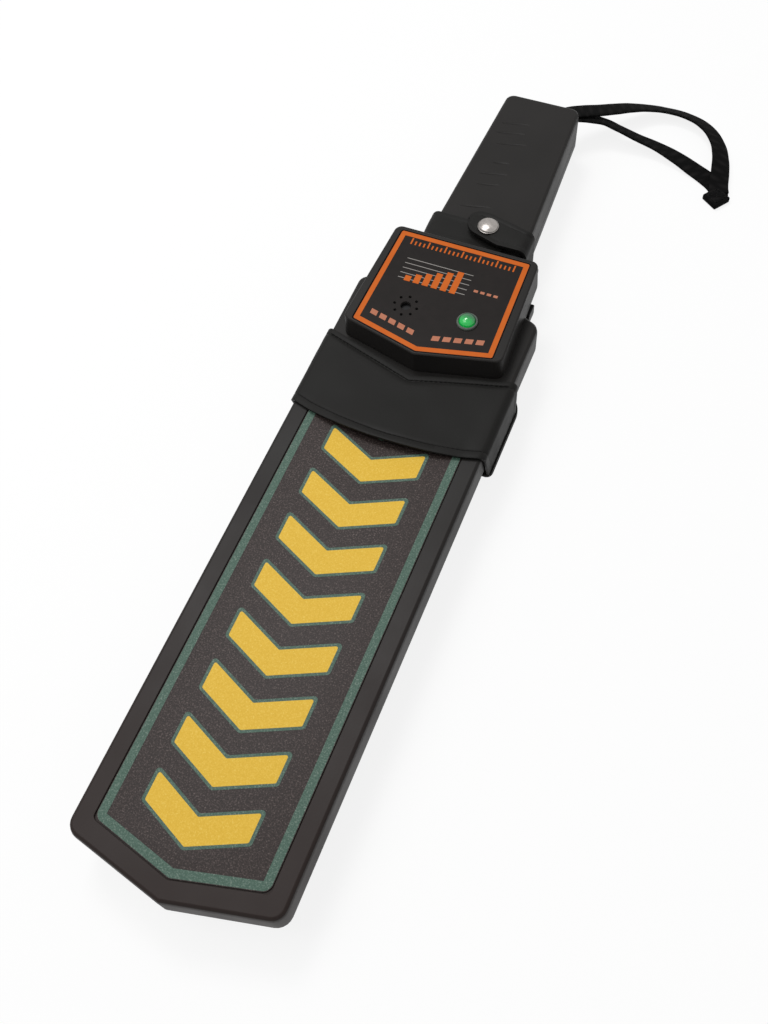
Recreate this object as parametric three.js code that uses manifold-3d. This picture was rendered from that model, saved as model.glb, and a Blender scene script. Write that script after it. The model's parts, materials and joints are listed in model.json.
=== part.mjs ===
// A hand-held security metal detector wand in its leather holster, in millimetres.
// X runs across the wand, Y along it from the tip to the end of the handle, and Z up out of its front.
// The holster's belt loop is the lowest piece, and its underside is at Z = 0.

import * as THREE from 'three';
import { mergeVertices } from 'three/addons/utils/BufferGeometryUtils.js';
import Module from 'manifold-3d';

const wasm = await Module();
wasm.setup();

// Clearances and counts used all over

const gap = 0.3; // between pieces that touch
const slack = 0.5; // round pieces that slide in a slot
const overrun = 6; // how far a cut runs past what it cuts
const corner = { steps: 5, smallSteps: 2, smallRadius: 1.6, least: 0.2 };
const sides = { hole: 16, small: 8, round: 24, wire: 6 };
const screwHole = 0.3; // radial clearance of every screw and pin

// The casing. A longer wand has a longer paddle.

const casing = {
  length: 410,
  depth: 22,
  wall: 2,
  split: 8, // height of the parting line over the back
  backRound: 2.2,
  backDraft: 1.7, // of the rear cover's walls, but not the handle's
  frontBevel: 1.4,
  frontBevelDepth: 2.6,
  paddleWidth: 85,
  tipRise: 9.9,
  tipRadius: 3,
  paddleRadius: 6,
  shoulder: 24.8, // before the head's rear wall
  shoulderRadius: 5,
  shoulderRise: 4.5,
  insideRadius: 1.5,
  waistWidth: 64.4, // behind the shoulders, under the head
  waistRadius: 6,
};
const head = {
  width: 73.6, // behind its chevron
  rearWidth: 68.4,
  length: 66.2, // from the point of its chevron to its rear wall
  chevronRise: 8.65,
  rise: 11.5,
  radius: 4,
  draft: 0.6,
  topRound: 0.7,
};
const handle = {
  neckWidth: 47.2,
  neckRadius: 3,
  endWidth: 37.8,
  endRadius: 4.5,
  behindHolster: 7, // from the holster's end to the palm swell
  palmLead: 8.5, // from the swell's start to the battery door
  palmDrop: 3,
  palmInset: 1,
  palmRound: 3.2,
  palmRadius: 6,
};

// The battery and its door in the palm side of the handle

const battery = {
  width: 26.5,
  length: 48.5,
  height: 17.5,
  fromEnd: 16.5,
  lift: 0.5, // over the palm's inner face
  edge: 2,
  terminal: 3,
  terminalDepth: 2.5,
  terminalSpread: 12.7,
};
const door = {
  width: 28.6,
  beyondBattery: 2.5,
  tongue: 1.4,
  tongueDepth: 0.9,
  endHeight: 9, // of the part that closes the end wall, over the palm's lowest face
  grooves: 4,
  groovePitch: 3.2,
  grooveWidth: 1.2,
  grooveDepth: 0.6,
  grooveLength: 16,
  groovesFromEnd: 8,
};

// The holster's leather and the height of everything above the surface it lies on

const leather = { back: 1.8, band: 1.2, strap: 1.6, loop: 1.8 };
const holsterBehindHead = 26.2;
const beltGap = 5;
const panelBottom = leather.loop + beltGap;
const panelTop = panelBottom + leather.back;
const back = panelTop + gap;
const front = back + casing.depth;
const parting = back + casing.split;
const headTop = front + head.rise;
const roof = front - casing.wall; // inner face of the front over the paddle and the handle
const headRoof = headTop - casing.wall;
const floor = back + casing.wall;
const palmBottom = back - handle.palmDrop;
const palmFloor = palmBottom + casing.wall;

// Places along the wand: the paddle's tip first, and all others from the handle's end

const tip = -casing.length / 2;
const handleEnd = casing.length / 2;
const batteryEnd = handleEnd - battery.fromEnd;
const batteryStart = batteryEnd - battery.length;
const doorStart = batteryStart - door.beyondBattery;
const palmStart = doorStart - handle.palmLead;
const headEnd = palmStart - handle.behindHolster - holsterBehindHead;
const headStart = headEnd - head.length;
const shoulderY = headEnd - casing.shoulder;

// Outlines, sections and solids

const flat = (x, y) => new THREE.Vector2(x, y);

// A closed outline from counterclockwise corners [x, y, radius], all moved inwards by inset.
function outline(corners, inset = 0) {
  const count = corners.length;
  const edges = corners.map(([x, y], i) => {
    const [nextX, nextY] = corners[(i + 1) % count];
    const direction = flat(nextX - x, nextY - y).normalize();
    const inward = flat(-direction.y, direction.x);
    return { direction, inward, start: flat(x, y).addScaledVector(inward, inset) };
  });
  return corners.flatMap(([, , radius], i) => {
    const before = edges[(i + count - 1) % count];
    const after = edges[i];
    const sine = before.direction.cross(after.direction);
    const reach = flat(after.start.x - before.start.x, after.start.y - before.start.y);
    const vertex = before.start.clone()
      .addScaledVector(before.direction, reach.cross(after.direction) / sine);
    if (!radius) return [vertex];
    const turn = Math.atan2(sine, before.direction.dot(after.direction));
    const bend = Math.max(radius - Math.sign(turn) * inset, corner.least);
    const centre = vertex.clone()
      .addScaledVector(before.direction, -bend * Math.tan(Math.abs(turn) / 2))
      .addScaledVector(before.inward, Math.sign(turn) * bend);
    const arcSteps = radius > corner.smallRadius ? corner.steps : corner.smallSteps;
    const spoke = before.inward.clone().multiplyScalar(-Math.sign(turn) * bend);
    return Array.from({ length: arcSteps + 1 }, (_, k) =>
      spoke.clone().rotateAround(flat(0, 0), (turn * k) / arcSteps).add(centre));
  });
}

// The same outline on both sides of x = 0, from the corners of its right half, bottom to top.
function mirrored(corners) {
  const left = corners.filter(([x]) => x > 0).reverse().map(([x, y, radius]) => [-x, y, radius]);
  return [...corners, ...left];
}

// A closed solid through rings of points of one count, each at its own height.
function stacked(rings) {
  const count = rings[0].points.length;
  const places = rings.flatMap(({ points, z }) => points.flatMap((p) => [p.x, p.y, z]));
  const faces = [];
  for (let ring = 0; ring < rings.length - 1; ring += 1) {
    for (let i = 0; i < count; i += 1) {
      const a = ring * count + i;
      const b = ring * count + ((i + 1) % count);
      faces.push(a, b, b + count, a, b + count, a + count);
    }
  }
  const last = (rings.length - 1) * count;
  THREE.ShapeUtils.triangulateShape(rings[0].points, []).forEach(([a, b, c]) => faces.push(a, c, b));
  THREE.ShapeUtils.triangulateShape(rings[rings.length - 1].points, [])
    .forEach(([a, b, c]) => faces.push(last + a, last + b, last + c));
  const geometry = new THREE.BufferGeometry();
  geometry.setAttribute('position', new THREE.Float32BufferAttribute(places, 3));
  geometry.setIndex(faces);
  return geometry;
}

// A closed solid along a path through rings of points of one count. Each ring is the section of a strip:
// one of its sides, then the other side back again, counterclockwise as seen from ahead.
function swept(rings) {
  const count = rings[0].length;
  const last = (rings.length - 1) * count;
  const faces = [];
  for (let ring = 0; ring < rings.length - 1; ring += 1) {
    for (let i = 0; i < count; i += 1) {
      const a = ring * count + i;
      const b = ring * count + ((i + 1) % count);
      faces.push(a, b, b + count, a, b + count, a + count);
    }
  }
  for (let a = 0; a < count / 2 - 1; a += 1) {
    const b = a + 1;
    const c = count - 1 - b;
    const d = count - 1 - a;
    faces.push(a, d, c, a, c, b, last + a, last + b, last + c, last + a, last + c, last + d);
  }
  const geometry = new THREE.BufferGeometry();
  const places = rings.flat().flatMap((p) => [p.x, p.y, p.z]);
  geometry.setAttribute('position', new THREE.Float32BufferAttribute(places, 3));
  geometry.setIndex(faces);
  return geometry;
}

const plate = (points, low, high) => stacked([{ points, z: low }, { points, z: high }]);

function block(xMin, xMax, yMin, yMax, zMin, zMax) {
  const geometry = new THREE.BoxGeometry(xMax - xMin, yMax - yMin, zMax - zMin);
  return geometry.translate((xMin + xMax) / 2, (yMin + yMax) / 2, (zMin + zMax) / 2);
}

// A round bar along Z between two heights, at x and y.
function bar(radius, x, y, low, high, count = sides.hole) {
  const geometry = new THREE.CylinderGeometry(radius, radius, high - low, count);
  return geometry.rotateX(Math.PI / 2).translate(x, y, (low + high) / 2);
}

// A round bar along X or Y between two places on that axis.
function barAlongX(radius, y, z, from, to, count = sides.small) {
  const geometry = new THREE.CylinderGeometry(radius, radius, to - from, count);
  return geometry.rotateZ(-Math.PI / 2).translate((from + to) / 2, y, z);
}
function barAlongY(radius, x, z, from, to, count = sides.hole) {
  return new THREE.CylinderGeometry(radius, radius, to - from, count).translate(x, (from + to) / 2, z);
}

// A turned piece about Z at x and y, from its profile [radius, height] points.
function turned(profile, x, y, count = sides.round) {
  const geometry = new THREE.LatheGeometry(profile.map(([radius, z]) => flat(radius, z)), count);
  return geometry.rotateX(Math.PI / 2).translate(x, y, 0);
}

// An outline drawn in the X-Z plane and run along Y, or drawn in the Y-Z plane and run along X.
const extruded = (points, depth) =>
  new THREE.ExtrudeGeometry(new THREE.Shape(points), { depth, bevelEnabled: false });
const runAlongY = (points, from, to) =>
  extruded(points, to - from).rotateX(Math.PI / 2).translate(0, to, 0);
const runAlongX = (points, from, to) =>
  extruded(points, to - from).rotateX(Math.PI / 2).rotateZ(Math.PI / 2).translate(from, 0, 0);

// The points of an open path with its corners [x, y, radius] rounded.
function rounded(corners) {
  return corners.flatMap(([x, y, radius], i) => {
    if (!radius) return [flat(x, y)];
    const [beforeX, beforeY] = corners[i - 1];
    const [afterX, afterY] = corners[i + 1];
    const toBefore = flat(beforeX - x, beforeY - y).normalize();
    const toAfter = flat(afterX - x, afterY - y).normalize();
    const bend = Math.acos(toBefore.dot(toAfter));
    const tangent = radius / Math.tan(bend / 2);
    const start = flat(x, y).addScaledVector(toBefore, tangent);
    const middle = toBefore.clone().add(toAfter).normalize();
    const centre = flat(x, y).addScaledVector(middle, radius / Math.sin(bend / 2));
    const turn = Math.sign(toAfter.cross(toBefore)) * (Math.PI - bend);
    return Array.from({ length: corner.steps + 1 }, (_, k) =>
      start.clone().rotateAround(centre, (turn * k) / corner.steps));
  });
}

// A strip of one thickness: an open path and the same path moved to its left.
function thick(path, thickness) {
  const moved = path.map((point, i) => {
    const before = path[Math.max(i - 1, 0)];
    const after = path[Math.min(i + 1, path.length - 1)];
    const first = i ? point.clone().sub(before).normalize() : after.clone().sub(point).normalize();
    const second = i < path.length - 1 ? after.clone().sub(point).normalize() : first;
    const left = flat(-first.y - second.y, first.x + second.x).normalize();
    const reach = thickness / left.dot(flat(-first.y, first.x));
    return point.clone().addScaledVector(left, reach);
  });
  return [...path, ...moved.reverse()];
}

// Solids for joins and cuts, and back

function solid(geometry) {
  const bare = new THREE.BufferGeometry();
  bare.setAttribute('position', geometry.getAttribute('position'));
  bare.setIndex(geometry.getIndex());
  const merged = mergeVertices(bare);
  return new wasm.Manifold(new wasm.Mesh({
    numProp: 3,
    vertProperties: Float32Array.from(merged.getAttribute('position').array),
    triVerts: Uint32Array.from(merged.getIndex().array),
  }));
}
const joined = (...geometries) => geometries.map(solid).reduce((all, one) => all.add(one));
const cut = (body, ...tools) => tools.reduce((rest, tool) => rest.subtract(tool), body);

function shape(body) {
  const mesh = body.getMesh();
  const geometry = new THREE.BufferGeometry();
  geometry.setAttribute('position', new THREE.BufferAttribute(mesh.vertProperties, mesh.numProp));
  geometry.setIndex(new THREE.BufferAttribute(mesh.triVerts, 1));
  return geometry;
}

// Finishes

const finish = (color, roughness, metalness = 0, more = {}) =>
  new THREE.MeshStandardMaterial({ color, roughness, metalness, flatShading: true, ...more });
const look = {
  casing: finish('#242221', 0.55),
  button: finish('#1c1c1d', 0.5),
  leather: finish('#1e1d1c', 0.5),
  webbing: finish('#141414', 0.9),
  label: finish('#2c2322', 0.7),
  overlay: finish('#181717', 0.4),
  lens: finish('#1b9d4f', 0.08, 0, { transparent: true, opacity: 0.6 }),
  bezel: finish('#7d857f', 0.35, 0.6),
  glow: finish('#18a558', 0.3),
  steel: finish('#b9bcc0', 0.25, 1),
  copper: finish('#a85a2a', 0.4, 1),
  board: finish('#1d5b3a', 0.5),
  chip: finish('#1a1a1c', 0.45),
  former: finish('#d8d4c8', 0.6),
  foam: finish('#3a3c40', 0.95),
  battery: finish('#35506b', 0.4, 0.3),
  leadRed: finish('#a3231c', 0.5),
  leadBlack: finish('#151516', 0.5),
  ceramic: finish('#e4dcc6', 0.6),
};
const wand = new THREE.Group();
function piece(name, geometry, material) {
  const mesh = new THREE.Mesh(geometry, material);
  mesh.name = name;
  wand.add(mesh);
}

// The casing's outlines

const paddleHalf = casing.paddleWidth / 2;
const headHalf = head.width / 2;
const rearHalf = head.rearWidth / 2;
const waistHalf = casing.waistWidth / 2;
const neckHalf = handle.neckWidth / 2;
const endHalf = handle.endWidth / 2;
const handleHalfAt = (y) => neckHalf + ((endHalf - neckHalf) * (y - headEnd)) / (handleEnd - headEnd);
const chevron = (y, x) => y + (head.chevronRise * Math.abs(x)) / headHalf;
const casingAt = (draft) => mirrored([
  [0, tip + draft, casing.tipRadius],
  [paddleHalf - draft, tip + casing.tipRise + draft, casing.paddleRadius],
  [paddleHalf - draft, shoulderY, casing.shoulderRadius],
  [waistHalf - draft, shoulderY + casing.shoulderRise, casing.insideRadius],
  [waistHalf - draft, headEnd, casing.waistRadius],
  [neckHalf, headEnd, handle.neckRadius],
  [endHalf, handleEnd, handle.endRadius],
]);
const casingCorners = casingAt(0);
const backCorners = casingAt(casing.backDraft);
const headCorners = mirrored([
  [0, headStart, casing.tipRadius],
  [headHalf, chevron(headStart, headHalf), head.radius],
  [rearHalf, headEnd, head.radius],
]);
const palmHalfAt = (y) => handleHalfAt(y) - handle.palmInset;
const palmCorners = mirrored([
  [palmHalfAt(palmStart), palmStart, handle.palmRadius],
  [palmHalfAt(handleEnd), handleEnd, handle.endRadius],
]);

// The casing's outside and its hollow

const ring = (corners, inset, z) => ({ points: outline(corners, inset), z });
const restShare = 1 - Math.SQRT1_2; // what is left of a quarter round's inset and rise at its middle
const body = solid(stacked([
  ring(backCorners, casing.backRound, back),
  ring(backCorners, casing.backRound * restShare, back + casing.backRound * restShare),
  ring(backCorners, 0, back + casing.backRound),
  ring(casingCorners, 0, parting),
  ring(casingCorners, 0, front - casing.frontBevelDepth),
  ring(casingCorners, casing.frontBevel * restShare, front - casing.frontBevelDepth * restShare),
  ring(casingCorners, casing.frontBevel, front),
]));
const headSlope = head.draft / head.rise;
const headBody = solid(stacked([
  ring(headCorners, 0, roof),
  ring(headCorners, 0, front),
  ring(headCorners, head.draft - headSlope * head.topRound, headTop - head.topRound),
  ring(headCorners, head.draft + head.topRound * restShare, headTop - head.topRound * restShare),
  ring(headCorners, head.draft + head.topRound, headTop),
]));
const palmBody = solid(stacked([
  ring(palmCorners, handle.palmRound, palmBottom),
  ring(palmCorners, handle.palmRound * restShare, palmBottom + handle.palmRound * restShare),
  ring(palmCorners, 0, palmBottom + handle.palmRound),
  ring(palmCorners, 0, floor),
]));
const outside = body.add(headBody).add(palmBody);
const middle = back + casing.depth / 2;
const inCasing = (corners, low, high) => solid(plate(outline(corners, casing.wall), low, high));
const inHead = solid(plate(outline(headCorners, casing.wall + head.draft), middle, headRoof))
  .intersect(inCasing(casingCorners, middle, headRoof));
const hollow = inCasing(backCorners, floor, middle)
  .add(inCasing(casingCorners, parting, roof))
  .add(inHead)
  .add(solid(plate(outline(palmCorners, casing.wall + handle.palmInset), palmFloor, middle)));
const around = (low, high) => solid(block(
  -casing.paddleWidth, casing.paddleWidth, tip - overrun, handleEnd + overrun, low, high,
));

// Case screws: they go in from the back and hold in posts under the front

const screw = {
  shaft: 1.2,
  head: 2.7,
  headDepth: 1.6,
  sink: 2.4, // depth of the screw's pocket in the back
  post: 3.2,
  bite: 6, // length held in the front cover's post
  slot: 0.6,
  slotDepth: 0.5,
};
const screwInset = 7.4;
const screwFromTip = 24;
const screwBeforeHead = 9.6;
const screwFromHeadEnd = 6.8;
const screwPlaces = [-1, 1].flatMap((side) => [
  [side * (paddleHalf - screwInset), tip + screwFromTip, roof],
  [side * (paddleHalf - screwInset), headStart - screwBeforeHead, roof],
  [side * (waistHalf - screwInset), headEnd - screwFromHeadEnd, headRoof],
]);
const pocketTop = back + screw.sink;
const postHole = screw.shaft + screwHole;

// Places and sizes of what shows in the head's top

const panelLip = {
  margin: 1.9, // behind the head's chevron
  sideMargin: 4.7,
  rearSideMargin: 3.7,
  endMargin: 2.7,
  depth: 0.9,
  thickness: 0.4,
  radius: 1.2,
};
const overlayHalf = headHalf - panelLip.sideMargin;
const overlayEnd = headEnd - panelLip.endMargin;
const overlayCorners = mirrored([
  [0, headStart + panelLip.margin, 0],
  [overlayHalf, chevron(headStart + panelLip.margin, overlayHalf), panelLip.radius],
  [rearHalf - panelLip.rearSideMargin, overlayEnd, panelLip.radius],
]);
const label = {
  margin: 7.85, // from the paddle's sides
  start: 8.2,
  rise: 8.7,
  beforeHead: 5.5,
  depth: 0.9,
  thickness: 0.4,
  radius: 2,
};
const labelHalf = paddleHalf - label.margin;
const labelCorners = mirrored([
  [0, tip + label.start, label.radius],
  [labelHalf, tip + label.start + label.rise, label.radius],
  [labelHalf, chevron(headStart - label.beforeHead, labelHalf), label.radius],
  [0, headStart - label.beforeHead, 0],
]);
const lamp = {
  x: 15.3,
  behindPoint: 24, // of the head's chevron
  hole: 4.5,
  collar: 4.85,
  collarRise: 0.9,
  tube: 4.2,
  bore: 3.8,
  lens: 3.6,
  lensWall: 0.6,
  lensRise: 2.4,
  depth: 4,
  bulb: 2.4,
  bulbFlange: 2.9,
  bulbFlangeDepth: 1,
  leg: 0.5,
  legSpread: 2.5,
};
const sounder = {
  x: -12.7,
  behindPoint: 23.5,
  centreHole: 2.3,
  smallHole: 0.7,
  ring: 5.1,
  holes: 8,
  radius: 11,
  thickness: 5,
  rimWall: 1.2,
  rimDepth: 4,
};
const lampY = headStart + lamp.behindPoint;
const soundY = headStart + sounder.behindPoint;
const soundHoles = (low, high) => joined(
  bar(sounder.centreHole, sounder.x, soundY, low, high),
  ...Array.from({ length: sounder.holes }, (_, i) => {
    const angle = (i / sounder.holes) * 2 * Math.PI;
    const x = sounder.x + sounder.ring * Math.cos(angle);
    return bar(sounder.smallHole, x, soundY + sounder.ring * Math.sin(angle), low, high, sides.small);
  }),
);

// Sizes of the two side switches, in the walls behind the paddle's shoulders

const sideSwitch = { behindShoulder: 9.6, height: 15.6 };
const switchY = shoulderY + sideSwitch.behindShoulder;
const switchZ = back + sideSwitch.height;
const wallInside = waistHalf - casing.wall;
const push = { length: 7.4, height: 6.4, rise: 3.8, flange: 0.9, flangeDepth: 1.2, travel: 1.5, radius: 1 };
const slide = { length: 4, height: 3.6, rise: 3.3, base: 1.4, baseDepth: 1.2, travel: 2, grooves: 3 };

// The space a battery door of this fit takes: a plate, its two side tongues and the part in the end wall.
function doorSpace(fit) {
  const plateHalf = door.width / 2 - fit;
  const start = doorStart + fit;
  const end = handleEnd + overrun;
  const tongueLow = palmFloor - door.tongueDepth + fit;
  return joined(
    block(-plateHalf, plateHalf, start, end, palmBottom - overrun, palmFloor + gap),
    block(-plateHalf - door.tongue, plateHalf + door.tongue, start, end, tongueLow, palmFloor + gap),
    block(-plateHalf, plateHalf, handleEnd - casing.wall - gap, end, palmBottom - overrun,
      palmBottom + door.endHeight - fit),
  );
}

// The wrist strap's exit in the end wall, and the pin it is looped round inside

const webbing = { width: 9.5, thickness: 1.2 };
const strapExit = { x: 8.5, height: 11.5, slotHeight: 4.2, layerGap: 0.6 };
const strapSlot = webbing.width + 2 * gap;
const strapZ = back + strapExit.height;
const pin = { radius: 1.2, fromEnd: 7.5, lug: 1.6, lugHalf: 3, lugDrop: 3 };
const pinY = handleEnd - pin.fromEnd;

// Front cover

// Moulded finger grooves, each deepest at its middle, fading out at its ends and turned a little across the
// handle: places as shares of the handle's length, middles and lengths as shares of the neck's half width
const grip = {
  placeShares: [0.289, 0.428, 0.494, 0.567, 0.69, 0.755, 0.818],
  middleShares: [0.35, 0.3, 0.32, 0.26, 0.24, 0.36, 0.34],
  lengthShares: [0.69, 0.51, 0.66, 0.37, 0.69, 0.66, 0.64],
  width: 1.5,
  floor: 0.4,
  depth: 1,
  turn: 12.5,
  sections: 8,
  reach: 1.1, // how far the cut runs on past its ends, as a share of its half length
};
function gripGroove(i) {
  const half = (grip.lengthShares[i] * neckHalf) / 2;
  const slope = (grip.width - grip.floor) / 2 / grip.depth;
  const rings = Array.from({ length: grip.sections + 1 }, (_, step) => {
    const along = grip.reach * ((2 * step) / grip.sections - 1);
    const low = -grip.depth * (1 - along * along);
    const high = 2 * gap;
    const wide = grip.floor / 2 + slope * (high - low);
    return [[wide, high], [-wide, high], [-grip.floor / 2, low], [grip.floor / 2, low]]
      .map(([y, z]) => new THREE.Vector3(along * half, y, z));
  });
  return swept(rings).rotateZ(THREE.MathUtils.degToRad(grip.turn))
    .translate(-grip.middleShares[i] * neckHalf,
      THREE.MathUtils.lerp(headEnd, handleEnd, grip.placeShares[i]), front);
}
const frontPosts = screwPlaces.map(([x, y, top]) =>
  bar(screw.post, x, y, parting + gap, top + casing.wall / 2));
const frontPostHoles = screwPlaces.map(([x, y]) =>
  solid(bar(postHole, x, y, parting - overrun, parting + screw.bite + gap, sides.small)));
const speakerRim = cut(
  solid(bar(sounder.radius + gap + sounder.rimWall, sounder.x, soundY, headRoof - sounder.rimDepth,
    headRoof + casing.wall / 2, sides.round)),
  solid(bar(sounder.radius + gap, sounder.x, soundY, headRoof - overrun, headRoof, sides.round)),
);
const lugs = [-1, 1].map((side) => {
  const lugX = strapExit.x + side * (strapSlot / 2 + pin.lug / 2);
  return block(lugX - pin.lug / 2, lugX + pin.lug / 2, pinY - pin.lugHalf, pinY + pin.lugHalf,
    strapZ - pin.lugDrop, roof + casing.wall / 2);
});
const pushWindow = block(wallInside - overrun, waistHalf + overrun, switchY - push.length / 2 - gap,
  switchY + push.length / 2 + gap, switchZ - push.height / 2 - gap, switchZ + push.height / 2 + gap);
const slideReach = slide.length / 2 + slide.travel + slack;
const slideWindow = block(-waistHalf - overrun, -wallInside + overrun, switchY - slideReach,
  switchY + slideReach, switchZ - slide.height / 2 - gap, switchZ + slide.height / 2 + gap);
const strapWindow = block(strapExit.x - strapSlot / 2, strapExit.x + strapSlot / 2,
  handleEnd - casing.wall - overrun / 2, handleEnd + overrun,
  strapZ - strapExit.slotHeight / 2, strapZ + strapExit.slotHeight / 2);
const frontCover = cut(
  outside.intersect(around(parting + gap / 2, headTop + overrun)).subtract(hollow)
    .add(joined(...frontPosts, ...lugs)).add(speakerRim),
  ...frontPostHoles,
  solid(plate(outline(overlayCorners), headTop - panelLip.depth, headTop + overrun)),
  solid(plate(outline(labelCorners), front - label.depth, front + overrun)).subtract(
    solid(plate(outline(headCorners), roof, headTop)),
  ),
  solid(bar(lamp.hole, lamp.x, lampY, headRoof - overrun, headTop + overrun, sides.round)),
  soundHoles(headRoof - gap, headTop + overrun),
  ...[pushWindow, slideWindow, strapWindow].map(solid),
  solid(barAlongX(pin.radius + gap, pinY, strapZ, strapExit.x - strapSlot, strapExit.x + strapSlot)),
  ...grip.placeShares.map((_, i) => solid(gripGroove(i))),
);
piece('front_cover', shape(frontCover), look.casing);

// Rear cover, with the posts for the board, the coil's former and the motor

const boardSize = {
  sideMargin: 5.2, // inside the casing's side
  behindPoint: 13.4,
  endMargin: 12.3, // before the head's rear wall
  thickness: 1.6,
  height: 11.5, // of its underside over the casing's back
  post: 2.8,
  screwInset: 4,
  screwFromStart: 4.5,
  screwBeforeSwitch: 11.5,
  screwHead: 2.2,
  screwHeadDepth: 1.2,
  screwBite: 5,
};
const boardBottom = back + boardSize.height;
const boardTop = boardBottom + boardSize.thickness;
const boardHalf = waistHalf - boardSize.sideMargin;
const boardStart = headStart + boardSize.behindPoint;
const boardEnd = headEnd - boardSize.endMargin;
const boardScrews = [-1, 1].flatMap((side) =>
  [boardStart + boardSize.screwFromStart, switchY - boardSize.screwBeforeSwitch]
    .map((y) => [side * (boardHalf - boardSize.screwInset), y]));
const coil = {
  formerHalf: 28.5,
  start: 16,
  beforeHead: 6.6,
  rise: 6,
  radius: 9,
  formerThickness: 3,
  ring: 2.6,
  height: 5,
  post: 2.5,
  postX: 20,
  postInset: 26,
  windows: 3,
  windowHalf: 17,
  windowRib: 12,
};
const coilStart = tip + coil.start;
const coilEnd = headStart - coil.beforeHead;
const coilPosts = [-1, 1].flatMap((side) => [coilStart + coil.postInset, coilEnd - coil.postInset]
  .map((y) => [side * coil.postX, y]));
const motor = {
  x: -10,
  radius: 3.5,
  length: 12,
  behindHead: 1.5,
  lift: 5.2,
  shaft: 0.6,
  weight: 4.4,
  weightLength: 3,
  cradle: 1.2,
};
const motorStart = headEnd + motor.behindHead;
const motorEnd = motorStart + motor.length;
const motorZ = floor + motor.lift;
const trimmer = {
  x: 8, behindPoint: 27.4, size: 6.5, height: 4.4, rotor: 2.2, rotorDepth: 1, hole: 2.6, slot: 0.6,
};
const trimmerY = headStart + trimmer.behindPoint;
const bit = casing.wall / 2; // how far posts and ribs start inside the wall that carries them
const rearPosts = [
  ...screwPlaces.map(([x, y]) => bar(screw.post, x, y, floor - bit, parting - gap)),
  ...boardScrews.map(([x, y]) => bar(boardSize.post, x, y, floor - bit, boardBottom - gap)),
  ...coilPosts.map(([x, y]) =>
    bar(coil.post, x, y, floor - bit, middle - coil.formerThickness / 2 - gap)),
  block(motor.x - motor.radius, motor.x + motor.radius, motorStart, motorEnd, floor - bit, motorZ),
];
const rearShell = outside.intersect(around(palmBottom - overrun, parting - gap / 2)).subtract(hollow);
const rearCover = cut(
  rearShell.add(joined(...rearPosts)),
  ...screwPlaces.map(([x, y]) =>
    solid(bar(postHole, x, y, back - overrun, parting + overrun, sides.small))),
  ...screwPlaces.map(([x, y]) => solid(bar(screw.head + gap, x, y, back - overrun, pocketTop))),
  ...boardScrews.map(([x, y]) => solid(bar(postHole, x, y, boardBottom - boardSize.screwBite - gap,
    boardBottom + overrun, sides.small))),
  solid(barAlongY(motor.radius + gap, motor.x, motorZ, motorStart - overrun, motorEnd + overrun)),
  solid(bar(trimmer.hole, trimmer.x, trimmerY, back - overrun, floor + gap)),
  doorSpace(0),
);
piece('rear_cover', shape(rearCover), look.casing);

const doorGrooves = Array.from({ length: door.grooves }, (_, i) => {
  const y = handleEnd - door.groovesFromEnd - i * door.groovePitch;
  return solid(block(-door.grooveLength / 2, door.grooveLength / 2, y - door.grooveWidth, y,
    palmBottom - overrun, palmBottom + door.grooveDepth));
});
piece('battery_door', shape(cut(rearShell.intersect(doorSpace(gap)), ...doorGrooves)), look.casing);

function screwShape(x, y, headLow, headHigh, headRadius, tip, shaft) {
  const low = Math.min(headLow, tip);
  const slotLow = tip > headLow ? headLow - overrun : headHigh - screw.slotDepth;
  const slotHigh = tip > headLow ? headLow + screw.slotDepth : headHigh + overrun;
  return joined(
    bar(headRadius, x, y, headLow, headHigh, sides.hole),
    bar(shaft, x, y, low, Math.max(headHigh, tip), sides.small),
  ).subtract(solid(block(x - headRadius, x + headRadius, y - screw.slot / 2, y + screw.slot / 2,
    slotLow, slotHigh)));
}
screwPlaces.forEach(([x, y], i) => piece(`case_screw_${i + 1}`, shape(screwShape(
  x, y, pocketTop - gap - screw.headDepth, pocketTop - gap, screw.head, parting + screw.bite, screw.shaft,
)), look.steel));

// What shows on the front: the paddle's label, the head's overlay and the lamp

piece('paddle_label', plate(outline(labelCorners, gap), front - label.depth + gap,
  front - label.depth + gap + label.thickness), look.label);
const overlayLow = headTop - panelLip.depth + gap;
const overlayTop = overlayLow + panelLip.thickness;
piece('head_overlay', shape(cut(
  solid(plate(outline(overlayCorners, gap), overlayLow, overlayTop)),
  solid(bar(lamp.hole, lamp.x, lampY, headRoof, headTop + overrun, sides.round)),
  soundHoles(headRoof, headTop + overrun),
)), look.overlay);
const lampLow = headTop - lamp.depth;
const collarTop = headTop + lamp.collarRise;
piece('lamp_bezel', turned([
  [lamp.bore, lampLow], [lamp.tube, lampLow],
  [lamp.tube, overlayTop + gap], [lamp.collar, overlayTop + gap],
  [lamp.collar, collarTop - lamp.lensWall], [lamp.tube, collarTop],
  [lamp.bore, collarTop], [lamp.bore, lampLow],
], lamp.x, lampY), look.bezel);
function dome(radius, low, rise, points) {
  return Array.from({ length: points + 1 }, (_, i) => {
    const angle = (i / points) * (Math.PI / 2);
    return [radius * Math.cos(angle), low + rise * Math.sin(angle)];
  });
}
const domePoints = 5;
const lensInside = lamp.lens - lamp.lensWall;
piece('lamp_lens', turned([
  [lensInside, lampLow],
  ...dome(lamp.lens, collarTop, lamp.lensRise, domePoints),
  ...dome(lensInside, collarTop, lamp.lensRise - lamp.lensWall, domePoints).reverse(),
  [lensInside, lampLow],
], lamp.x, lampY), look.lens);
const bulbFlangeTop = lampLow + lamp.bulbFlangeDepth - slack;
const bulbLow = lampLow - slack;
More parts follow.
